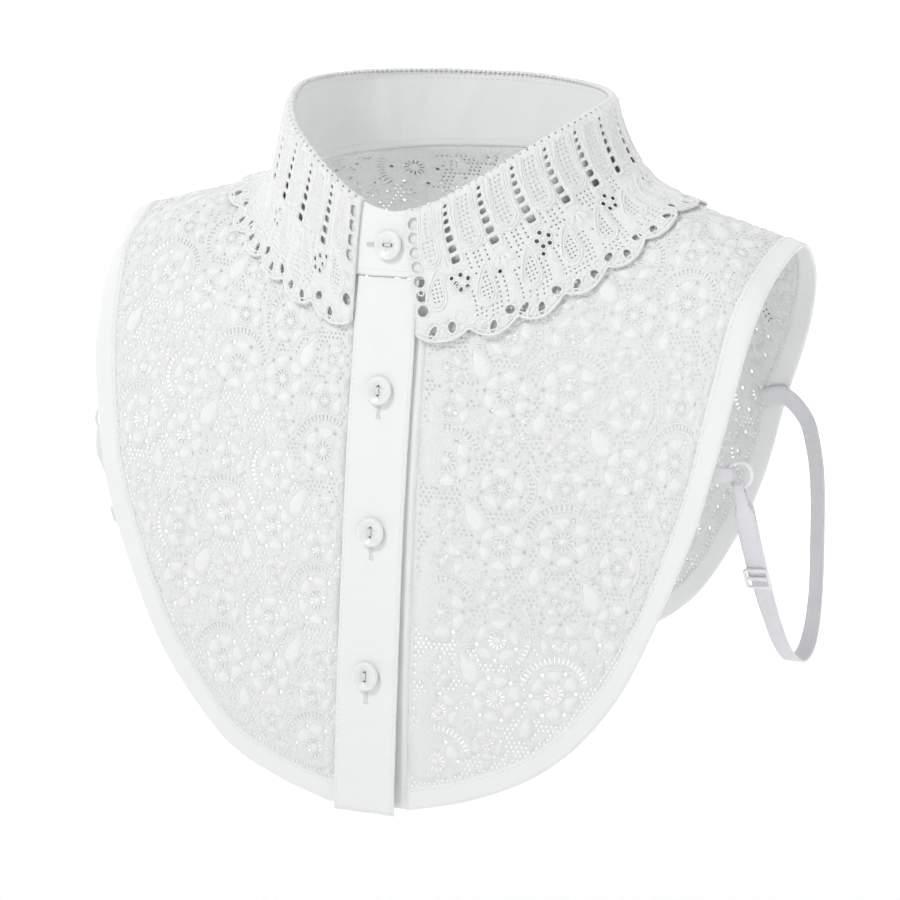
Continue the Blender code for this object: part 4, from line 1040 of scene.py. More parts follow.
standCreases = (
    # angle from centre back, height of the trough (inwards below zero), width in degrees, slant
    (-118, -0.35, 5.0, 6), (-101, 0.3, 4.0, -8), (-84, -0.4, 4.5, 5), (-66, 0.3, 4.0, 8), (-47, -0.45, 5.0, -6),
    (-33, 0.35, 4.0, 5), (-19, -0.4, 4.0, 9), (-7, 0.3, 3.5, -5), (8, -0.45, 4.5, 7), (24, 0.35, 4.0, -9),
    (39, -0.4, 4.0, 5), (58, 0.3, 4.5, 6), (77, -0.35, 5.0, -7), (97, 0.3, 4.5, 6), (115, -0.3, 5.0, -5),
)


def standPlace(flat, height=0.0):  # angle from centre back in degrees, share from the seam up to the fold
    flat = np.asarray(flat, float)
    height = np.broadcast_to(np.asarray(height, float), (len(flat),))
    end = 180 + stand["lapAngle"]
    points, outs = np.zeros((len(flat), 3)), np.zeros((len(flat), 3))
    for i, (angle, share) in enumerate(flat):
        frontAngle = 180 - abs(angle)
        side = math.copysign(1, angle)
        seam = neckPoint(frontAngle) * (side, 1, 1)
        top = foldPoint(frontAngle, int(side)) * (side, 1, 1)
        seam[2] += seamRise(max(frontAngle, 0))
        outward = unit([seam[0] / neck["halfWidth"] ** 2, seam[1] / neck["front"] ** 2, 0.0])
        toEnd = math.radians(end - abs(angle)) * fold["front"]
        if toEnd < stand["corner"]:
            top[2] -= stand["corner"] - math.sqrt(max(stand["corner"] ** 2 - (stand["corner"] - toEnd) ** 2, 0))
        across = np.array([-outward[1], outward[0], 0.0])
        outward = unit(np.cross(across, unit(top - seam)))
        crease = 0.0
        for middle, rise, wide, slant in standCreases:
            off = (angle - middle - slant * (share - 0.5)) / wide / 0.62
            crease += rise * math.exp(-off * off) * math.sin(max(share, 0) * math.pi) * (1.2 if rise > 0 else 2.2)
        belly = stand["belly"] * math.sin(share * math.pi) + crease
        points[i] = seam + (top - seam) * share + outward * (belly + standStep(angle) + height[i])
        outs[i] = outward
    return points, outs


def standAngles():
    end = 180 + stand["lapAngle"]
    middle = np.linspace(-174, 174, 233)
    tip = np.array([177, 180, 183, 185.5, 187.5, 189, 190.2, 191, 191.6, end])
    return np.concatenate([-tip[::-1], middle, tip])


standShares = np.array([-0.025, 0.02, 0.12, 0.25, 0.4, 0.55, 0.7, 0.82, 0.93, 1.0, 1.03])
standPiece = softSheet("collar_stand_cloth", standPlace, standAngles(), standShares, stand["thick"], looks["poplin"], 0.4)
flatUv = standPiece.data.uv_layers[0].data
values = np.zeros(len(flatUv) * 2, np.float32)
flatUv.foreach_get("uv", values)
values = values.reshape(-1, 2) * (1.15, 34.0)  # degrees and shares to mm
flatUv.foreach_set("uv", values.ravel())


def standRow(name, share, lift, first=-186.0, last=186.0):
    row = np.column_stack([np.linspace(first, last, 240), np.full(240, share)])
    path, facing = standPlace(row, lift)
    return stitches(name, path, facing * (1 if lift > 0 else -1))


lift = stand["thick"] / 2
standSewing = joinPieces("collar_stand_stitches", [
    standRow("seam_out", 0.07, lift), standRow("seam_in", 0.07, -lift),
    standRow("seam_in2", 0.93, -lift, -150.0, 150.0),
])
print("stand made", flush=True)


# Collar leaf: one piece of openwork lace folded over the stand. Its flat is (repeat x 16, mm from the fold).

leaf = {
    "repeats": 13, "start": {1: 6.5, -1: 14.5}, "startBelow": {1: 14.5, -1: 14.5}, "first": (17.0, 24.0),
    "ring": 40.0, "stretch": 16.0, "scallop": 4.8, "thick": 0.7, "crownRise": 1.7,
}
leafLengths = ((0.0, 58.0, 56.5), (0.5, 58.5, 57.0), (1.5, 64.5, 59.5), (2.5, 67.0, 60.0), (4.0, 66.5, 61.0),
               (13.0, 63.0, 63.0))
leafLanding = (
    # angle, landing below the neck seam, height over the cloth, lean out on the left, on the right
    (0.0, 21.0, 2.6, 0.0, 0.02), (20.0, 20.0, 2.4, 0.0, 0.06), (45.0, 18.0, 2.0, 0.0, 0.16),
    (90.0, 16.0, 1.9, 0.0, 0.28), (180.0, 15.0, 1.9, 0.04, 0.04),
)
crown = ((-0.7, 0.0), (0.7, 0.0), (2.0, -1.2), (2.5, -4.05))
turnIn = (-1.75, -1.5)  # its toothed edge turns down inside the stand


def barePoint(line, along):
    points, distances = clothLine(round(float(line), 4))
    return np.array([np.interp(along, distances, points[:, axis]) for axis in range(3)])


def leafProfile(side, angle, line):
    top = foldPoint(angle, side)
    outward = unit([top[0] / fold["halfWidth"][side] ** 2, top[1] / fold["front"] ** 2, 0.0])
    up = np.array([0, 0, 1.0])
    lapFrom, lapOver = (18, 34) if side < 0 else (12, 12)
    bend = top + outward * stand["lapStep"] * (1 - float(smoothStep((angle - lapFrom) / lapOver)))
    lean = float(readTable(leafLanding, angle, 3 if side > 0 else 4))
    beginRun = unit(unit(neckPoint(angle) - top) + outward * lean)
    bends = [bend + outward * out + up * (leaf["crownRise"] + height) for out, height in (turnIn, *crown)]
    landing, height = float(readTable(leafLanding, angle, 1)), float(readTable(leafLanding, angle, 2))
    seat, seatOut = onCloth(1, line, landing)
    seat = seat + seatOut * height
    seatRun = unit(barePoint(line, landing + 2) - barePoint(line, landing - 2))
    start = bends[-1]
    reach = np.linalg.norm(seat - start)
    s = np.linspace(0, 1, 15)[1:, None]
    run = ((2 * s**3 - 3 * s**2 + 1) * start + (s**3 - 2 * s**2 + s) * beginRun * reach
           + (3 * s**2 - 2 * s**3) * seat + (s**3 - s**2) * seatRun * reach * 0.8)
    rest, restOut = onCloth(1, line, landing + np.arange(3.0, 60.0, 3.0))
    points = np.vstack([bends, run, rest + restOut * height]) * (side, 1, 1)
    steps = np.linalg.norm(np.diff(points, axis=0), axis=1)
    return points, np.concatenate([[0.0], np.cumsum(steps)]) - steps[0]


@functools.lru_cache(maxsize=None)
def repeatSpacing(side):
    angles, lines = np.linspace(0, 180, 181), np.linspace(0, lastLine, 20 * lastLine + 1)
    folds = np.array([foldPoint(angle, side) for angle in angles])
    below = np.array([barePoint(line, leaf["ring"]) for line in lines])
    repeats = []
    for places, start, first in zip((folds, below), (leaf["start"][side], leaf["startBelow"][side]), leaf["first"]):
        length = np.concatenate([[0.0], np.cumsum(np.linalg.norm(np.diff(places, axis=0), axis=1))])
        marks = (0.0, start, start + first, length[-1])
        repeats.append(np.interp(length, marks, (-start / first, 0, 1, leaf["repeats"])))
    return angles, repeats[0], lines, repeats[1]


leafEnd = 2 * leaf["repeats"]
leafStep, leafRow, leafDown, leafUp = 0.1, 0.6, 75.0, 1.8


def makeLeafTable():
    columns = []
    for repeat in np.arange(0, leafEnd + leafStep / 2, leafStep):
        side, fromFront = (1, repeat) if repeat <= leaf["repeats"] else (-1, leafEnd - repeat)
        angles, foldRepeats, lines, lineRepeats = repeatSpacing(side)
        points, distances = leafProfile(side, float(np.interp(fromFront, foldRepeats, angles)),
                                        float(np.interp(fromFront, lineRepeats, lines)))
        down = np.arange(-leafUp, leafDown, leafRow)
        columns.append(np.column_stack([np.interp(down, distances, points[:, axis]) for axis in range(3)]))
    points = np.array(columns)
    return points, gridNormals(points)


leafPoints, leafNormals = makeLeafTable()


def leafPlace(flat, height=0.0):
    flat = np.asarray(flat, float)
    height = np.broadcast_to(np.asarray(height, float), (len(flat),))
    column, row = flat[:, 0] / leaf["stretch"] / leafStep, (flat[:, 1] + leafUp) / leafRow
    out = unit(lookUp(leafNormals, column, row))
    return lookUp(leafPoints, column, row) + out * height[:, None], out


def leafPitch(repeat, along):
    middle = min(max(repeat, 0.5), leafEnd - 0.5)
    ends, _ = leafPlace([((middle - 0.5) * leaf["stretch"], along), ((middle + 0.5) * leaf["stretch"], along)])
    return float(np.linalg.norm(ends[1] - ends[0]))


def leafDepth(repeat):
    side, fromFront = (1, repeat) if repeat <= leaf["repeats"] else (-1, leafEnd - repeat)
    return float(readTable(leafLengths, fromFront, 1 if side > 0 else 2))


def leafHem(repeat):
    return leafDepth(repeat) - leaf["scallop"] * (1 - abs(math.sin(math.pi * repeat)) ** 0.75)


pitchTable = {r: [leafPitch(r, along) for along in (5, 20, 35, 50, 65)] for r in np.arange(0, leafEnd + 0.5, 0.5)}


def atLeaf(repeat, shape):  # a shape in mm, x from the middle of a repeat and y from the fold, to the leaf's flat
    shape = np.asarray(shape, float)
    pitch = np.interp(shape[:, 1], (5, 20, 35, 50, 65), pitchTable[round(repeat * 2) / 2])
    return np.column_stack([(repeat + shape[:, 0] / pitch) * leaf["stretch"], shape[:, 1]])


ladder = ((5.8, 2.2, 1.9), (8.9, 2.6, 2.1), (12.1, 3.1, 2.4), (15.5, 3.6, 2.8), (19.2, 4.1, 3.3), (23.6, 4.5, 3.5),
          (28.1, 4.8, 3.6))


def roundBox(x, y, width, height, soft=0.6):
    w, h = width / 2, height / 2
    return np.array([(x - w + soft, y - h), (x + w - soft, y - h), (x + w, y - h + soft), (x + w, y + h - soft),
                     (x + w - soft, y + h), (x - w + soft, y + h), (x - w, y + h - soft), (x - w, y - h + soft)])


def oval(centre, out, length, width, count=10):
    out = unit(out)
    side = np.array([out[1], -out[0]])
    turns = np.linspace(0, 2 * math.pi, count, endpoint=False)
    return np.asarray(centre) + np.outer(np.cos(turns) * length / 2, out) + np.outer(np.sin(turns) * width / 2, side)


def lattice(shape, pitch=1.9, half=0.5, gap=0.3, avoid=()):  # diamond holes of a net
    shape = np.asarray(shape)
    low, high = shape.min(axis=0), shape.max(axis=0)
    ring = np.array([(-half, 0.0), (0.0, -half), (half, 0.0), (0.0, half)])
    rows = enumerate(np.arange(math.floor(low[1] / pitch) * pitch, high[1], pitch / 2))
    first = math.floor(low[0] / pitch) * pitch
    places = np.array([(x + (row % 2) * pitch / 2, y) for row, y in rows for x in np.arange(first, high[0], pitch)])
    good = insideMask(shape, places) & ~nearEdge(shape, places, gap + half)
    for other in avoid:
        good &= ~(insideMask(other, places) | nearEdge(other, places, 0.55 + half))
    return [ring + place for place in places[good]]


def threadsIn(shape, pitch=1.9):  # the crossing threads between the holes of a lattice, cut off at the shape
    shape = np.asarray(shape)
    low, high = shape.min(axis=0), shape.max(axis=0)
    base = (math.floor(low[0] / pitch) * pitch, math.floor(low[1] / pitch) * pitch)
    reach = high[1] - low[1] + pitch
    threads = []
    for way in (1, -1):
        for x in np.arange(base[0] - reach - pitch / 2, high[0] + reach, pitch):
            steps = np.arange(0.0, reach, 0.95)
            line = np.column_stack([x + way * steps, base[1] + steps])
            for run, _ in runsOf(list(insideMask(shape, line)), False):
                threads.append(line[run][:: max(1, len(run) // 4)] if len(run) > 8 else line[run])
    return [thread for thread in threads if len(thread) > 1]


def tongueShape(width, low, high):  # straight sides and a rounded end
    r = width / 2
    turns = np.linspace(math.pi, 0, 9)
    return np.array([(-r * 0.72, low), *[(-r * 0.72 - r * 0.28 * s, low + (high - r - low) * s) for s in (0.35, 0.7)],
                     *[(r * math.cos(t), high - r + r * math.sin(t)) for t in turns],
                     *[(r * 0.72 + r * 0.28 * s, low + (high - r - low) * s) for s in (0.7, 0.35)], (r * 0.72, low)])


def commaShape(flip):  # a paisley drop with its tail turned up, in mm about its eye
    t = np.linspace(0, 2 * math.pi, 22, endpoint=False)
    x, y = 4.3 * np.sin(t), 5.2 * -np.cos(t)
    tail = np.clip(np.cos(t), 0, 1) ** 2.2
    return np.column_stack([(x + tail * 3.6) * flip, y - tail * 6.4])


def buildLeaf():
    stretch = leaf["stretch"]
    teeth = np.linspace(0, leafEnd * stretch, leafEnd * 14 + 1)
    top = [(x, -1.75 if i % 2 else -0.6) for i, x in enumerate(teeth)]
    hem = [(r * stretch, leafHem(r)) for r in np.linspace(leafEnd, 0, leafEnd * 20 + 1)]
    first = [(0.0, y) for y in np.linspace(leafHem(0), -0.6, 40)[1:-1]]
    last = [(leafEnd * stretch, y) for y in np.linspace(-0.6, leafHem(leafEnd), 40)[1:-1]]
    outline = np.array([*top, *last, *hem, *first])
    pattern = Pattern()

    def cord(repeat, shape, size=0.3, closed=True):
        pattern.cords.append((atLeaf(repeat, shape), size, closed))

    for x in np.arange(2.2, leafEnd * stretch - 1, 3.6):  # tiny holes along the fold
        pattern.holes.append(arc((x, 1.9), 0.55, 0, 2 * math.pi, 6)[:-1])
    for n in range(1, leafEnd):  # the ladders, and what lies under them
        for y, width, height in ladder:
            box = roundBox(0, y, width * 0.76, height * 0.78)
            pattern.holes.append(atLeaf(n, box))
            pattern.pads.append((atLeaf(n, roundBox(0, y + height / 2 + 0.62, width + 0.8, 0.9, 0.3)), 0.35))
        for way in (-1, 1):
            rail = np.array([(way * (w / 2 + 0.75), y) for y, w, h in ladder])
            cord(n, np.vstack([[(way * 1.5, 3.4)], rail, [(way * 2.1, 31.3)]]), 0.42, False)
        if n % 2:
            for x, y in ((0, 34.6), (-2.7, 37.2), (2.7, 37.2), (-1.5, 40.2), (1.5, 40.2)):
                pattern.holes.append(atLeaf(n, arc((x, y), 0.95, 0, 2 * math.pi, 9)[:-1]))
                cord(n, arc((x, y), 1.35, 0, 2 * math.pi, 9)[:-1], 0.3)
        else:
            for turn in (-38, 0, 38):
                t = math.radians(turn)
                out = np.array([math.sin(t), math.cos(t)])
                shape = oval(np.array([0, 33.2]) + out * 4.2, out, 6.0, 2.3)
                pattern.pads.append((atLeaf(n, shape), 0.5))
                cord(n, shape, 0.2)
    for n in range(leafEnd):  # the tongues, drops and loops of each scallop
        middle, depth = n + 0.5, leafDepth(n + 0.5)
        wide = (leafPitch(middle, 16.0) - 5.4) if 0 < n < leafEnd - 1 else 8.6
        tongue = tongueShape(wide, 4.0, 27.5)
        cord(middle, tongue, 0.46, False)
        cord(middle, tongueShape(wide - 2.2, 4.0, 26.1), 0.32, False)
        covers = [tongue]
        net = tongueShape(wide - 2.6, 4.4, 25.9)
        pattern.holes += [atLeaf(middle, hole) for hole in lattice(net, 1.9, 0.46)]
        for thread in threadsIn(net):
            cord(middle, thread, 0.15, False)
        flip = 1 if n < leaf["repeats"] else -1
        drop = commaShape(flip) + (-1.6 * flip, depth - 18.5)
        cord(middle, drop, 0.5)
        cord(middle, (drop - drop.mean(axis=0)) * 0.74 + drop.mean(axis=0), 0.34)
        core = (drop - drop.mean(axis=0)) * 0.70 + drop.mean(axis=0)
        covers.append(drop)
        pattern.holes += [atLeaf(middle, hole) for hole in lattice(core, 1.7, 0.42, 0.1)]
        for number in range(5):
            if (n == 0 and number == 0) or (n == leafEnd - 1 and number == 4):
                continue
            turn = math.radians((number - 2) * 26.0)
            out = np.array([math.sin(turn), math.cos(turn)])
            shape = oval(np.array([0, depth - 13.5]) + out * 9.6, out, 5.2, 3.1)
            pattern.holes.append(atLeaf(middle, shape))
            covers.append(oval(np.array([0, depth - 13.5]) + out * 9.6, out, 6.3, 4.2))
            cord(middle, covers[-1], 0.44)
        for x, y in ((6.4 * flip, depth - 24.0), (8.2 * flip, depth - 20.2), (-7.4 * flip, depth - 22.0)):
            if abs(x) < leafPitch(middle, 40.0) / 2 - 2.6:
                pattern.holes.append(atLeaf(middle, arc((x, y), 0.85, 0, 2 * math.pi, 8)[:-1]))
                covers.append(arc((x, y), 1.25, 0, 2 * math.pi, 8)[:-1])
                cord(middle, covers[-1], 0.3)
        for way in (-1, 1):  # the ground net is kept clear of the ladders at each side
            x = way * leafPitch(middle, 35.0) / 2
            covers.append(np.array([(x - 3.2, 25.0), (x + 3.2, 25.0), (x + 3.2, 32.0), (x + 4.6, 37.0), (x + 3.0, 42.0),
                                    (x - 3.0, 42.0), (x - 4.6, 37.0), (x - 3.2, 32.0)]))
        x = leafPitch(middle, 42.0) / 2 - 0.8
        ground = np.array([(-x, 27.0), (x, 27.0), (x, depth - 7.6), (0, depth - 3.4), (-x, depth - 7.6)])
        if 0 < n < leafEnd - 1:
            pattern.holes += [atLeaf(middle, hole) for hole in lattice(ground, 2.0, 0.44, 0.2, covers)]
    for front, inwards in ((0.0, 1), (float(leafEnd), -1)):  # picots down the front edges
        for y in np.arange(8.0, leafHem(front) - 2.45 - 1.2, 6.0):
            pitch = leafPitch(front, y)
            x = (front + inwards * 3.3 / pitch) * stretch
            scale = stretch / pitch
            ring = arc((0, 0), 1.0, 0, 2 * math.pi, 11)[:-1]
            pattern.holes.append(ring * (2.25 * scale, 2.4) + (x, y))
            pattern.cords.append((ring * (2.75 * scale, 2.85) + (x, y), 0.28, True))
    hemCord = np.array([(r * stretch, leafHem(r) - 0.6) for r in np.linspace(0.03, leafEnd - 0.03, leafEnd * 14)])
    pattern.cords.append((hemCord, 0.5, False))
    pattern.cords.append((hemCord - (0, 1.9), 0.34, False))
    corners = np.vstack(pattern.holes)
    good = insideMask(outline, corners) & ~nearEdge(outline, corners, 0.35)
    kept, start, placed = [], 0, []
    for hole in pattern.holes:
        middle, reach = hole.mean(axis=0), np.abs(hole - hole.mean(axis=0)).max()
        clear = all(np.abs(middle - other).max() > reach + far + 0.3 for other, far in placed[-260:])
        if good[start : start + len(hole)].all() and clear:
            kept.append(hole)
            placed.append((middle, reach))
        start += len(hole)
    grid = [(x, y) for x in np.arange(2.0, leafEnd * stretch, 4.0) for y in (0.0, 0.9, 1.8, 2.8, 4.6, 6.5, 31, 36, 42, 47, 53)]
    grid = np.array(grid)
    grid = grid[insideMask(outline, grid)]
    flat, triangles = cutSheet(outline, kept, grid)
    ground = addWall("collar_leaf_ground", leafPlace, flat, triangles, leaf["thick"], looks["guipure"])
    pattern.cords = [(path[run], size, shut) for path, size, closed in pattern.cords
                     for run, shut in runsOf(insideMask(outline, path), closed)]
    pattern.pads = [(pad, rise) for pad, rise in pattern.pads if insideMask(outline, pad).all()]
    top = raised("collar_leaf_cords", leafPlace, pattern, leaf["thick"] / 2, looks["cord"], 0.2)
    print("collar leaf", len(ground.data.polygons), len(top.data.polygons), "faces", len(kept), "holes", flush=True)
    return ground, top


leafGround, leafCords = buildLeaf()


# Buttons: a turned disc with a raised rim, two holes, and thread through them

def onStandFront(x, z, height=0.0):  # a place on the front face of the stand's upper lap
    seam, top = neckPoint(0), foldPoint(0, 1)
    share = (z - seam[2]) / (top[2] - seam[2])
    outward = unit(np.cross([1.0, 0, 0], top - seam))
    belly = stand["belly"] * math.sin(share * math.pi)
    return seam + (top - seam) * share + outward * (belly + stand["lapStep"] + height) + (x, 0, 0), outward


def buildButton(name, place, outward, holeTurn):
    radius, wall = 6.0, 2.2
    outline = arc((0, 0), radius, 0, 2 * math.pi, 49)[:-1]
    turn = math.radians(holeTurn)
    apart = 1.6 * np.array([math.cos(turn), math.sin(turn)])
    holes = [arc(apart * way, 0.8, 0, 2 * math.pi, 15)[:-1] for way in (1, -1)]
    rings = [arc((0, 0), r, 0, 2 * math.pi, 49)[:-1] for r in (5.75, 5.3, 4.8, 4.3, 3.8)]
    flat, triangles = cutSheet(outline, holes, np.vstack(rings))
    r = np.linalg.norm(flat, axis=1)
    top = np.interp(r, (0, 3.8, 4.3, 4.8, 5.3, 5.75, 6.0), (1.55, 1.6, 1.95, 2.2, 2.18, 1.9, 1.35))
    bottom = np.interp(r, (0, 4.6, 5.6, 6.0), (0.15, 0.15, 0.45, 0.85))
    ends = holes[0], holes[1]
    nearHole = np.min([np.linalg.norm(flat - apart * way, axis=1) for way in (1, -1)], axis=0) < 0.85
    top = top - 0.12 * nearHole
    across = unit(np.cross([0, 0, 1.0], outward))
    up = np.cross(outward, across)
    frameOf = np.array([across, up])

    def lay(flats, height=0.0):
        height = np.broadcast_to(np.asarray(height, float), (len(flats),))
        return place + np.asarray(flats) @ frameOf + outward * height[:, None], np.tile(outward, (len(flats), 1))

    middle = (top + bottom) / 2
    disc = addWall(name + "_disc", lay, flat, triangles, top - bottom, looks["button"], middle)
    strands = Pattern()
    points, faces = [], []
    for strand, offset in enumerate((-0.32, 0.0, 0.32)):
        side = np.array([-apart[1], apart[0]]) / 1.6 * offset
        t = np.linspace(0, 1, 9)
        path = side + np.outer(1 - 2 * t, apart) * 0.94
        rise = 1.35 + 0.62 * np.sin(t * math.pi) ** 0.5
        at, out = lay(path, rise)
        ahead = np.gradient(at, axis=0)
        sideWay = unit(np.cross(out, ahead))
        upWay = unit(np.cross(ahead, sideWay))
        base = len(points)
        for part in range(6):
            small = 2 * math.pi * part / 6
            points += list(at + 0.2 * (sideWay * math.cos(small) + upWay * math.sin(small)))
        for part in range(6):
            for i in range(8):
                a, b = base + part * 9 + i, base + (part + 1) % 6 * 9 + i
                faces.append((a, a + 1, b + 1, b))
    thread = addMesh(name + "_thread", points, faces, looks["thread"])
    return disc, thread


buttons = []
backGap = 0.3 + 0.8
for number, along in enumerate((47.5, 105.5, 165.0), start=2):
    point, outward = onCloth(1, 0.0, along)
    buttons.append(buildButton(f"button_{number}", point + outward * (float(placketLift(along)) + backGap), outward, 90))
point, outward = onStandFront(0.0, -36.5, 1.0 + 0.3)
buttons.insert(0, buildButton("button_1", point, outward, 0))

holeRows = []
for number, along in enumerate((47.5, 105.5, 165.0)):
    row = np.column_stack([np.zeros(20), along + np.linspace(1.0, 10.6, 20)])
    for way in (-0.55, 0.55):
        path, facing = placketPlace(row + (way, 0), placket["thick"] / 2 + 0.05)
        holeRows.append(stitches(f"hole{number}{way}", path, facing, 0.42, 1.0, 0.2, True))
    bar = np.column_stack([np.linspace(-1.0, 1.0, 8), np.full(8, along + 11.0)])
    path, facing = placketPlace(bar, placket["thick"] / 2 + 0.1)
    holeRows.append(stitches(f"bar{number}", path, facing, 0.36, 1.3, 0.24, True))
for way in (-0.5, 0.5):
    spots = [onStandFront(x, -36.5 + way, stand["thick"] / 2 + 0.05) for x in np.linspace(-10.6, -5.0, 14)]
    path, facing = np.array([p for p, o in spots]), np.array([o for p, o in spots])
    holeRows.append(stitches(f"neckHole{way}", path, facing, 0.42, 0.9, 0.2, True))
buttonholes = joinPieces("buttonholes", holeRows)
print("buttons made", flush=True)


# Elastic straps: a doubled band with a ring and a slider, and a short tab inside the front

band = {"width": 8.2, "wall": 1.0, "atRing": 4.4, "wrap": 2.2, "apart": 1.5, "hiddenInward": 9.0}
ringSize = {"radius": 5.2, "wire": 0.8, "turn": 18.0}
ringSpot = np.array([148.6, -42.5, -121.6])
strapRoute = (
    (149.2, -39.6, -131.5, 18), (150.2, -35.0, -145.5, 16), (152.0, -28.0, -164.5, 10), (153.6, -19.5, -182.5, -4),
    (154.6, -8.0, -198.5, -10), (155.6, 4.0, -206.0, -4), (156.6, 14.5, -200.5, -16), (156.2, 22.5, -184.0, -26),
    (153.8, 30.0, -161.0, -26), (150.4, 37.5, -137.0, -26), (146.0, 42.5, -121.5, -26), (140.5, 46.6, -111.8, -26),
)
strapEnd = ((13.8, 0.5, 1.0), (14.5, 20.0, 0.6))
finer = 3  # cuts between two points of the coarse path


def smoothRoute(route, steps):
    rows = [np.array(row, float) for row in route]
    padded = [2 * rows[0] - rows[1], *rows, 2 * rows[-1] - rows[-2]]
    made = []
    for i in range(len(rows) - 1):
        made += [throughFour(padded[i : i + 4], share) for share in np.arange(0, 1, 1 / steps)]
    return [*made, rows[-1]]


def addBand(name, points, widths, sizes, wall, material):  # a flat band with rounded edges, its length along v
    points, sizes = np.array(points, float), np.array(sizes, float)
    ahead = unit(np.gradient(points, axis=0))
    across = np.array(widths, float)
    across = unit(across - ahead * np.einsum("ij,ij->i", across, ahead)[:, None])
    face = np.cross(ahead, across)
    length = np.concatenate([[0.0], np.cumsum(np.linalg.norm(np.diff(points, axis=0), axis=1))])
    section = ((-1, 0), (-0.94, -1), (-0.5, -1), (0, -1), (0.5, -1), (0.94, -1), (1, 0), (0.94, 1), (0.5, 1), (0, 1),
               (-0.5, 1), (-0.94, 1))
    count, corners, uv = len(points), [], []
    for a, f in section:
        corners.append(points + across * (a * sizes / 2)[:, None] + face * (f * wall / 2))
        uv.append(np.column_stack([np.full(count, a * 4.0), length]))
    faces = []
    for k in range(len(section)):
        for i in range(count - 1):
            a, b = k * count + i, (k + 1) % len(section) * count + i
            faces.append((a, b, b + 1, a + 1))
    faces.append(tuple(k * count for k in reversed(range(len(section)))))
    faces.append(tuple(k * count + count - 1 for k in range(len(section))))
    return addMesh(name, np.vstack(corners), faces, material, np.vstack(uv))


def closedTube(name, path, radius, material, normal, sides=10):  # a round bar along a closed path
    path = np.asarray(path, float)
    ahead = unit(np.roll(path, -1, axis=0) - np.roll(path, 1, axis=0))
    out = unit(np.cross(ahead, normal))
    count = len(path)
    corners = np.vstack([path + radius * (out * math.cos(t) + np.asarray(normal) * math.sin(t))
                         for t in np.linspace(0, 2 * math.pi, sides, endpoint=False)])
    faces = [(k * count + i, k * count + (i + 1) % count, (k + 1) % sides * count + (i + 1) % count,
              (k + 1) % sides * count + i) for k in range(sides) for i in range(count)]
    return addMesh(name, corners, faces, material)


def widthWay(turn):
    return np.array([math.cos(math.radians(turn)), math.sin(math.radians(turn)), 0.0])


def insideEdge(side, line, fromHem, clear):
    flip = np.array([side, 1, 1])
    point, outward = onCloth(side, line, clothLength(line) - fromHem)
    return (point - outward * (1.0 + 0.3 + band["wall"] / 2 + clear)) * flip, outward * flip


def strapPath(side):
    count = len(strapRoute) - 1
    rows = [(x - (band["hiddenInward"] * math.sin(math.pi * i / count) if side < 0 else 0.0), y, z, turn)
            for i, (x, y, z, turn) in enumerate(strapRoute)]
    for line, fromHem, clear in strapEnd:
        point, facing = insideEdge(side, line, fromHem, clear)
        rows.append((*point, strapRoute[-1][3]))
    made = smoothRoute(rows, 3 * finer)
    points = [row[:3] for row in made]
    widths = []
    for i, point in enumerate(points):
        run = unit(points[min(i + 1, len(points) - 1)] - points[max(i - 1, 0)])
        flat = float(smoothStep((i / 3 / finer - 8.0) / 3.0))
        widths.append(unit(widthWay(made[i][3]) * (1 - flat) + np.cross(facing, run) * flat))
    return points, widths


def wrapRound(centre, radius, firstWay, middleWay, steps=16):
    turns = np.linspace(0, math.pi, steps + 1)
    return [centre + radius * (firstWay * math.cos(t) + middleWay * math.sin(t)) for t in turns]


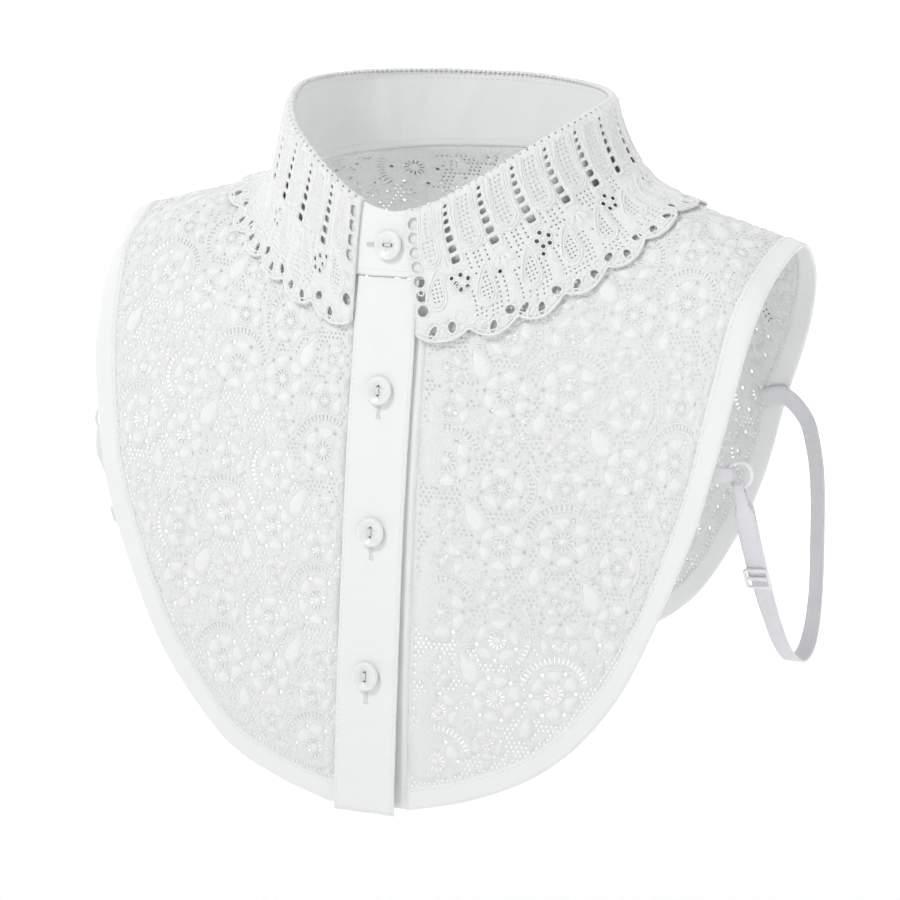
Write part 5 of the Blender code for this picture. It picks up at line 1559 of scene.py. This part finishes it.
def buildStrap(side, word):
    flip, up = np.array([side, 1, 1]), np.array([0, 0, 1.0])
    inPlane = widthWay(ringSize["turn"])
    facing = np.cross(inPlane, up)
    longLayer, widths = strapPath(side)
    wrap = wrapRound(ringSpot - up * ringSize["radius"], band["wrap"], -facing, up)
    sliderAt = 6 * finer
    faces = []
    for i in range(sliderAt + 2):
        run = unit(longLayer[i + 1] - longLayer[max(i - 1, 0)])
        face = unit(np.cross(widths[i], run))
        faces.append(face if float(face @ facing) > 0 else -face)
    front = []
    for i in range(1, sliderAt + 1):
        closing = float(smoothStep(i / finer / (6 - 1)))
        front.append(longLayer[i] + faces[i] * (2 * band["wrap"] * (1 - closing) + band["apart"] * closing))
    points = [*reversed(front), *reversed(wrap), *longLayer]
    allWidths = [*reversed(widths[1 : sliderAt + 1]), *[inPlane] * len(wrap), *widths]
    before, after = np.arange(len(front))[::-1] / finer, np.arange(len(longLayer)) / finer
    narrowing = lambda steps: band["atRing"] + (band["width"] - band["atRing"]) * smoothStep((steps + 0.3) / 1.2)
    sizes = [*narrowing(before), *[band["atRing"]] * len(wrap), *narrowing(after)]
    strap = addBand("strap_band_" + word, [p * flip for p in points], [w * flip for w in allWidths], sizes,
                    band["wall"], looks["elastic"])
    turns = np.linspace(0, 2 * math.pi, 48, endpoint=False)
    sideWay = np.cross(facing, up)
    circle = [(ringSpot + (sideWay * math.cos(t) + up * math.sin(t)) * ringSize["radius"]) * flip for t in turns]
    ring = closedTube("ring_wire_" + word, circle, ringSize["wire"], looks["plastic"], facing * flip, 12)
    run = unit(longLayer[sliderAt + 1] - longLayer[sliderAt - 1])
    lift = band["apart"] + band["wall"] / 2 + 0.3 + 0.2 + 0.75
    place, wide, away = longLayer[sliderAt] + faces[sliderAt] * lift, widths[sliderAt], faces[sliderAt]
    x, y, soft = 5.5 - 0.75, 4.75 - 0.75, 1.0
    corners = [(x - soft, y - soft, 0), (-x + soft, y - soft, 90), (-x + soft, -y + soft, 180), (x - soft, -y + soft, 270)]
    loop = [(cx + soft * math.cos(math.radians(s + d)), cy + soft * math.sin(math.radians(s + d)))
            for cx, cy, s in corners for d in (0, 22.5, 45, 67.5, 90)]
    path = [(place + wide * a - run * b) * flip for a, b in loop]
    frameBar = closedTube("slider_frame_" + word, path, 0.75, looks["plastic"], away * flip, 10)
    barPath = [place + wide * a - run * (0.35 * s) for a, s in
               [*[(v, 1) for v in np.linspace(-x, x, 8)], *[(v, -1) for v in np.linspace(x, -x, 8)]]]
    middleBar = closedTube("slider_bar_" + word, [p * flip for p in barPath], 0.45, looks["plastic"], away * flip, 8)
    slider = joinPieces("slider_bars_" + word, [frameBar, middleBar])
    near, frontOut = insideEdge(side, 6.2, 18.0, 0.3)
    nearEdgePoint, edgeOut = insideEdge(side, 6.57, 0.5, 0.4)
    far, farEdge = near - frontOut * band["apart"], nearEdgePoint - edgeOut * band["apart"]
    nearRing = ringSpot - inPlane * ringSize["radius"]
    approach = unit((nearRing - nearEdgePoint) * (1, 1, 0))
    bend = wrapRound(nearRing, band["wrap"], np.cross(approach, up), approach)
    sewn, atEdge = (unit(up - out * float(out @ up)) for out in (frontOut, edgeOut))
    tabPoints = [near, nearEdgePoint, *bend, farEdge, far]
    tabWidths = [sewn, atEdge, *[up] * len(bend), atEdge, sewn]
    tabSizes = [7.2, 7.2, *[band["atRing"] + 1.0] * len(bend), 7.2, 7.2]
    tab = addBand("tab_band_" + word, [p * flip for p in tabPoints], [w * flip for w in tabWidths], tabSizes,
                  band["wall"], looks["elastic"])
    return strap, ring, slider, tab


straps = {word: buildStrap(side, word) for side, word in ((1, "left"), (-1, "right"))}
print("straps made", flush=True)


# Each piece rides on the one body, and the solids it stands for are hidden

for word in ("left", "right"):
    ground, cords, size, area = fronts[word]
    tape, sewing = bindings[word]
    settle(ground, "corded_lace", "lace_front_" + word)
    settle(cords, "corded_lace")
    settle(tape, "cotton_poplin", "binding_front_" + word)
    settle(sewing, "cotton_poplin")
    for piece, part, slotName in zip(straps[word], ("strap", "ring", "slider", "tab"),
                                     ("elastic_webbing", "moulded_plastic", "moulded_plastic", "elastic_webbing")):
        settle(piece, slotName, f"{part}_{word}")
ground, cords, size, area = back
tape, sewing = bindings["back"]
settle(ground, "corded_lace", "lace_back")
settle(cords, "corded_lace")
settle(tape, "cotton_poplin", "binding_back")
settle(sewing, "cotton_poplin")
settle(leafGround, "guipure_lace", "collar_leaf_left", "collar_leaf_right")
settle(leafCords, "guipure_lace")
settle(standPiece, "cotton_poplin", "collar_stand")
settle(standSewing, "cotton_poplin")
settle(placketTop, "cotton_poplin", "placket_top")
settle(placketSewing, "cotton_poplin")
settle(buttonholes, "cotton_poplin")
settle(placketUnder, "cotton_poplin", "placket_under")
for number, (disc, thread) in enumerate(buttons, start=1):
    settle(disc, "shirt_button", f"button_{number}")
    settle(thread, "shirt_button")
print("pieces settled", flush=True)


# Studio: a pale floor that rises behind, soft light, and the photo's camera

def addCamera():
    turn, dip, distance = math.radians(27), math.radians(10), 1.7
    right = Vector((math.cos(turn), math.sin(turn), 0))
    ahead = Vector((-math.sin(turn) * math.cos(dip), math.cos(turn) * math.cos(dip), -math.sin(dip)))
    up = right.cross(ahead)
    data = bpy.data.cameras.new("camera")
    data.lens, data.sensor_width, data.shift_x = 160.0, 36.0, -5 / 900
    camera = bpy.data.objects.new("camera", data)
    matrix = Matrix((right, up, -ahead)).transposed().to_4x4()
    matrix.translation = Vector((0, 0, -0.13)) - ahead * distance
    camera.matrix_world = matrix
    bpy.context.scene.collection.objects.link(camera)
    bpy.context.scene.camera = camera
    return right, up, ahead


def addLight(name, place, target, size, power, tint="#ffffff"):
    data = bpy.data.lights.new(name, "AREA")
    data.shape, data.size, data.energy, data.color = "DISK", size, power, linear(tint)[:3]
    light = bpy.data.objects.new(name, data)
    light.location = place
    light.rotation_euler = (Vector(target) - Vector(place)).to_track_quat("-Z", "Y").to_euler()
    bpy.context.scene.collection.objects.link(light)


right, up, ahead = addCamera()
centre = Vector((0, 0, -0.13))
addLight("key", centre - right * 1.3 + up * 1.5 - ahead * 1.3, centre, 0.7, 21)
addLight("fill", centre + right * 1.6 + up * 0.5 - ahead * 1.4, centre, 1.6, 7)
addLight("top", centre + Vector((0, 0.2, 1.9)), centre, 1.4, 5)

behind = Vector((ahead.x, ahead.y, 0)).normalized()
profile = [(-6.0, -0.5), (3.0, -0.5), (3.6, -0.44), (4.0, -0.2), (4.2, 0.3), (4.25, 5.0)]
sideways = Vector((-behind.y, behind.x, 0))
sweep = [behind * d + sideways * s + Vector((0, 0, z)) for s in (-8.0, 8.0) for d, z in profile]
floor = addMesh("floor", np.array([tuple(p) for p in sweep]) / mm,
                [(i, i + 1, i + 1 + len(profile), i + len(profile)) for i in range(len(profile) - 1)], looks["paper"])

world = bpy.data.worlds.new("studio")
world.use_nodes = True
world.node_tree.nodes["Background"].inputs["Color"].default_value = linear("#fdfdff")
world.node_tree.nodes["Background"].inputs["Strength"].default_value = 0.41
bpy.context.scene.world = world
bpy.context.scene.view_settings.view_transform = "Standard"
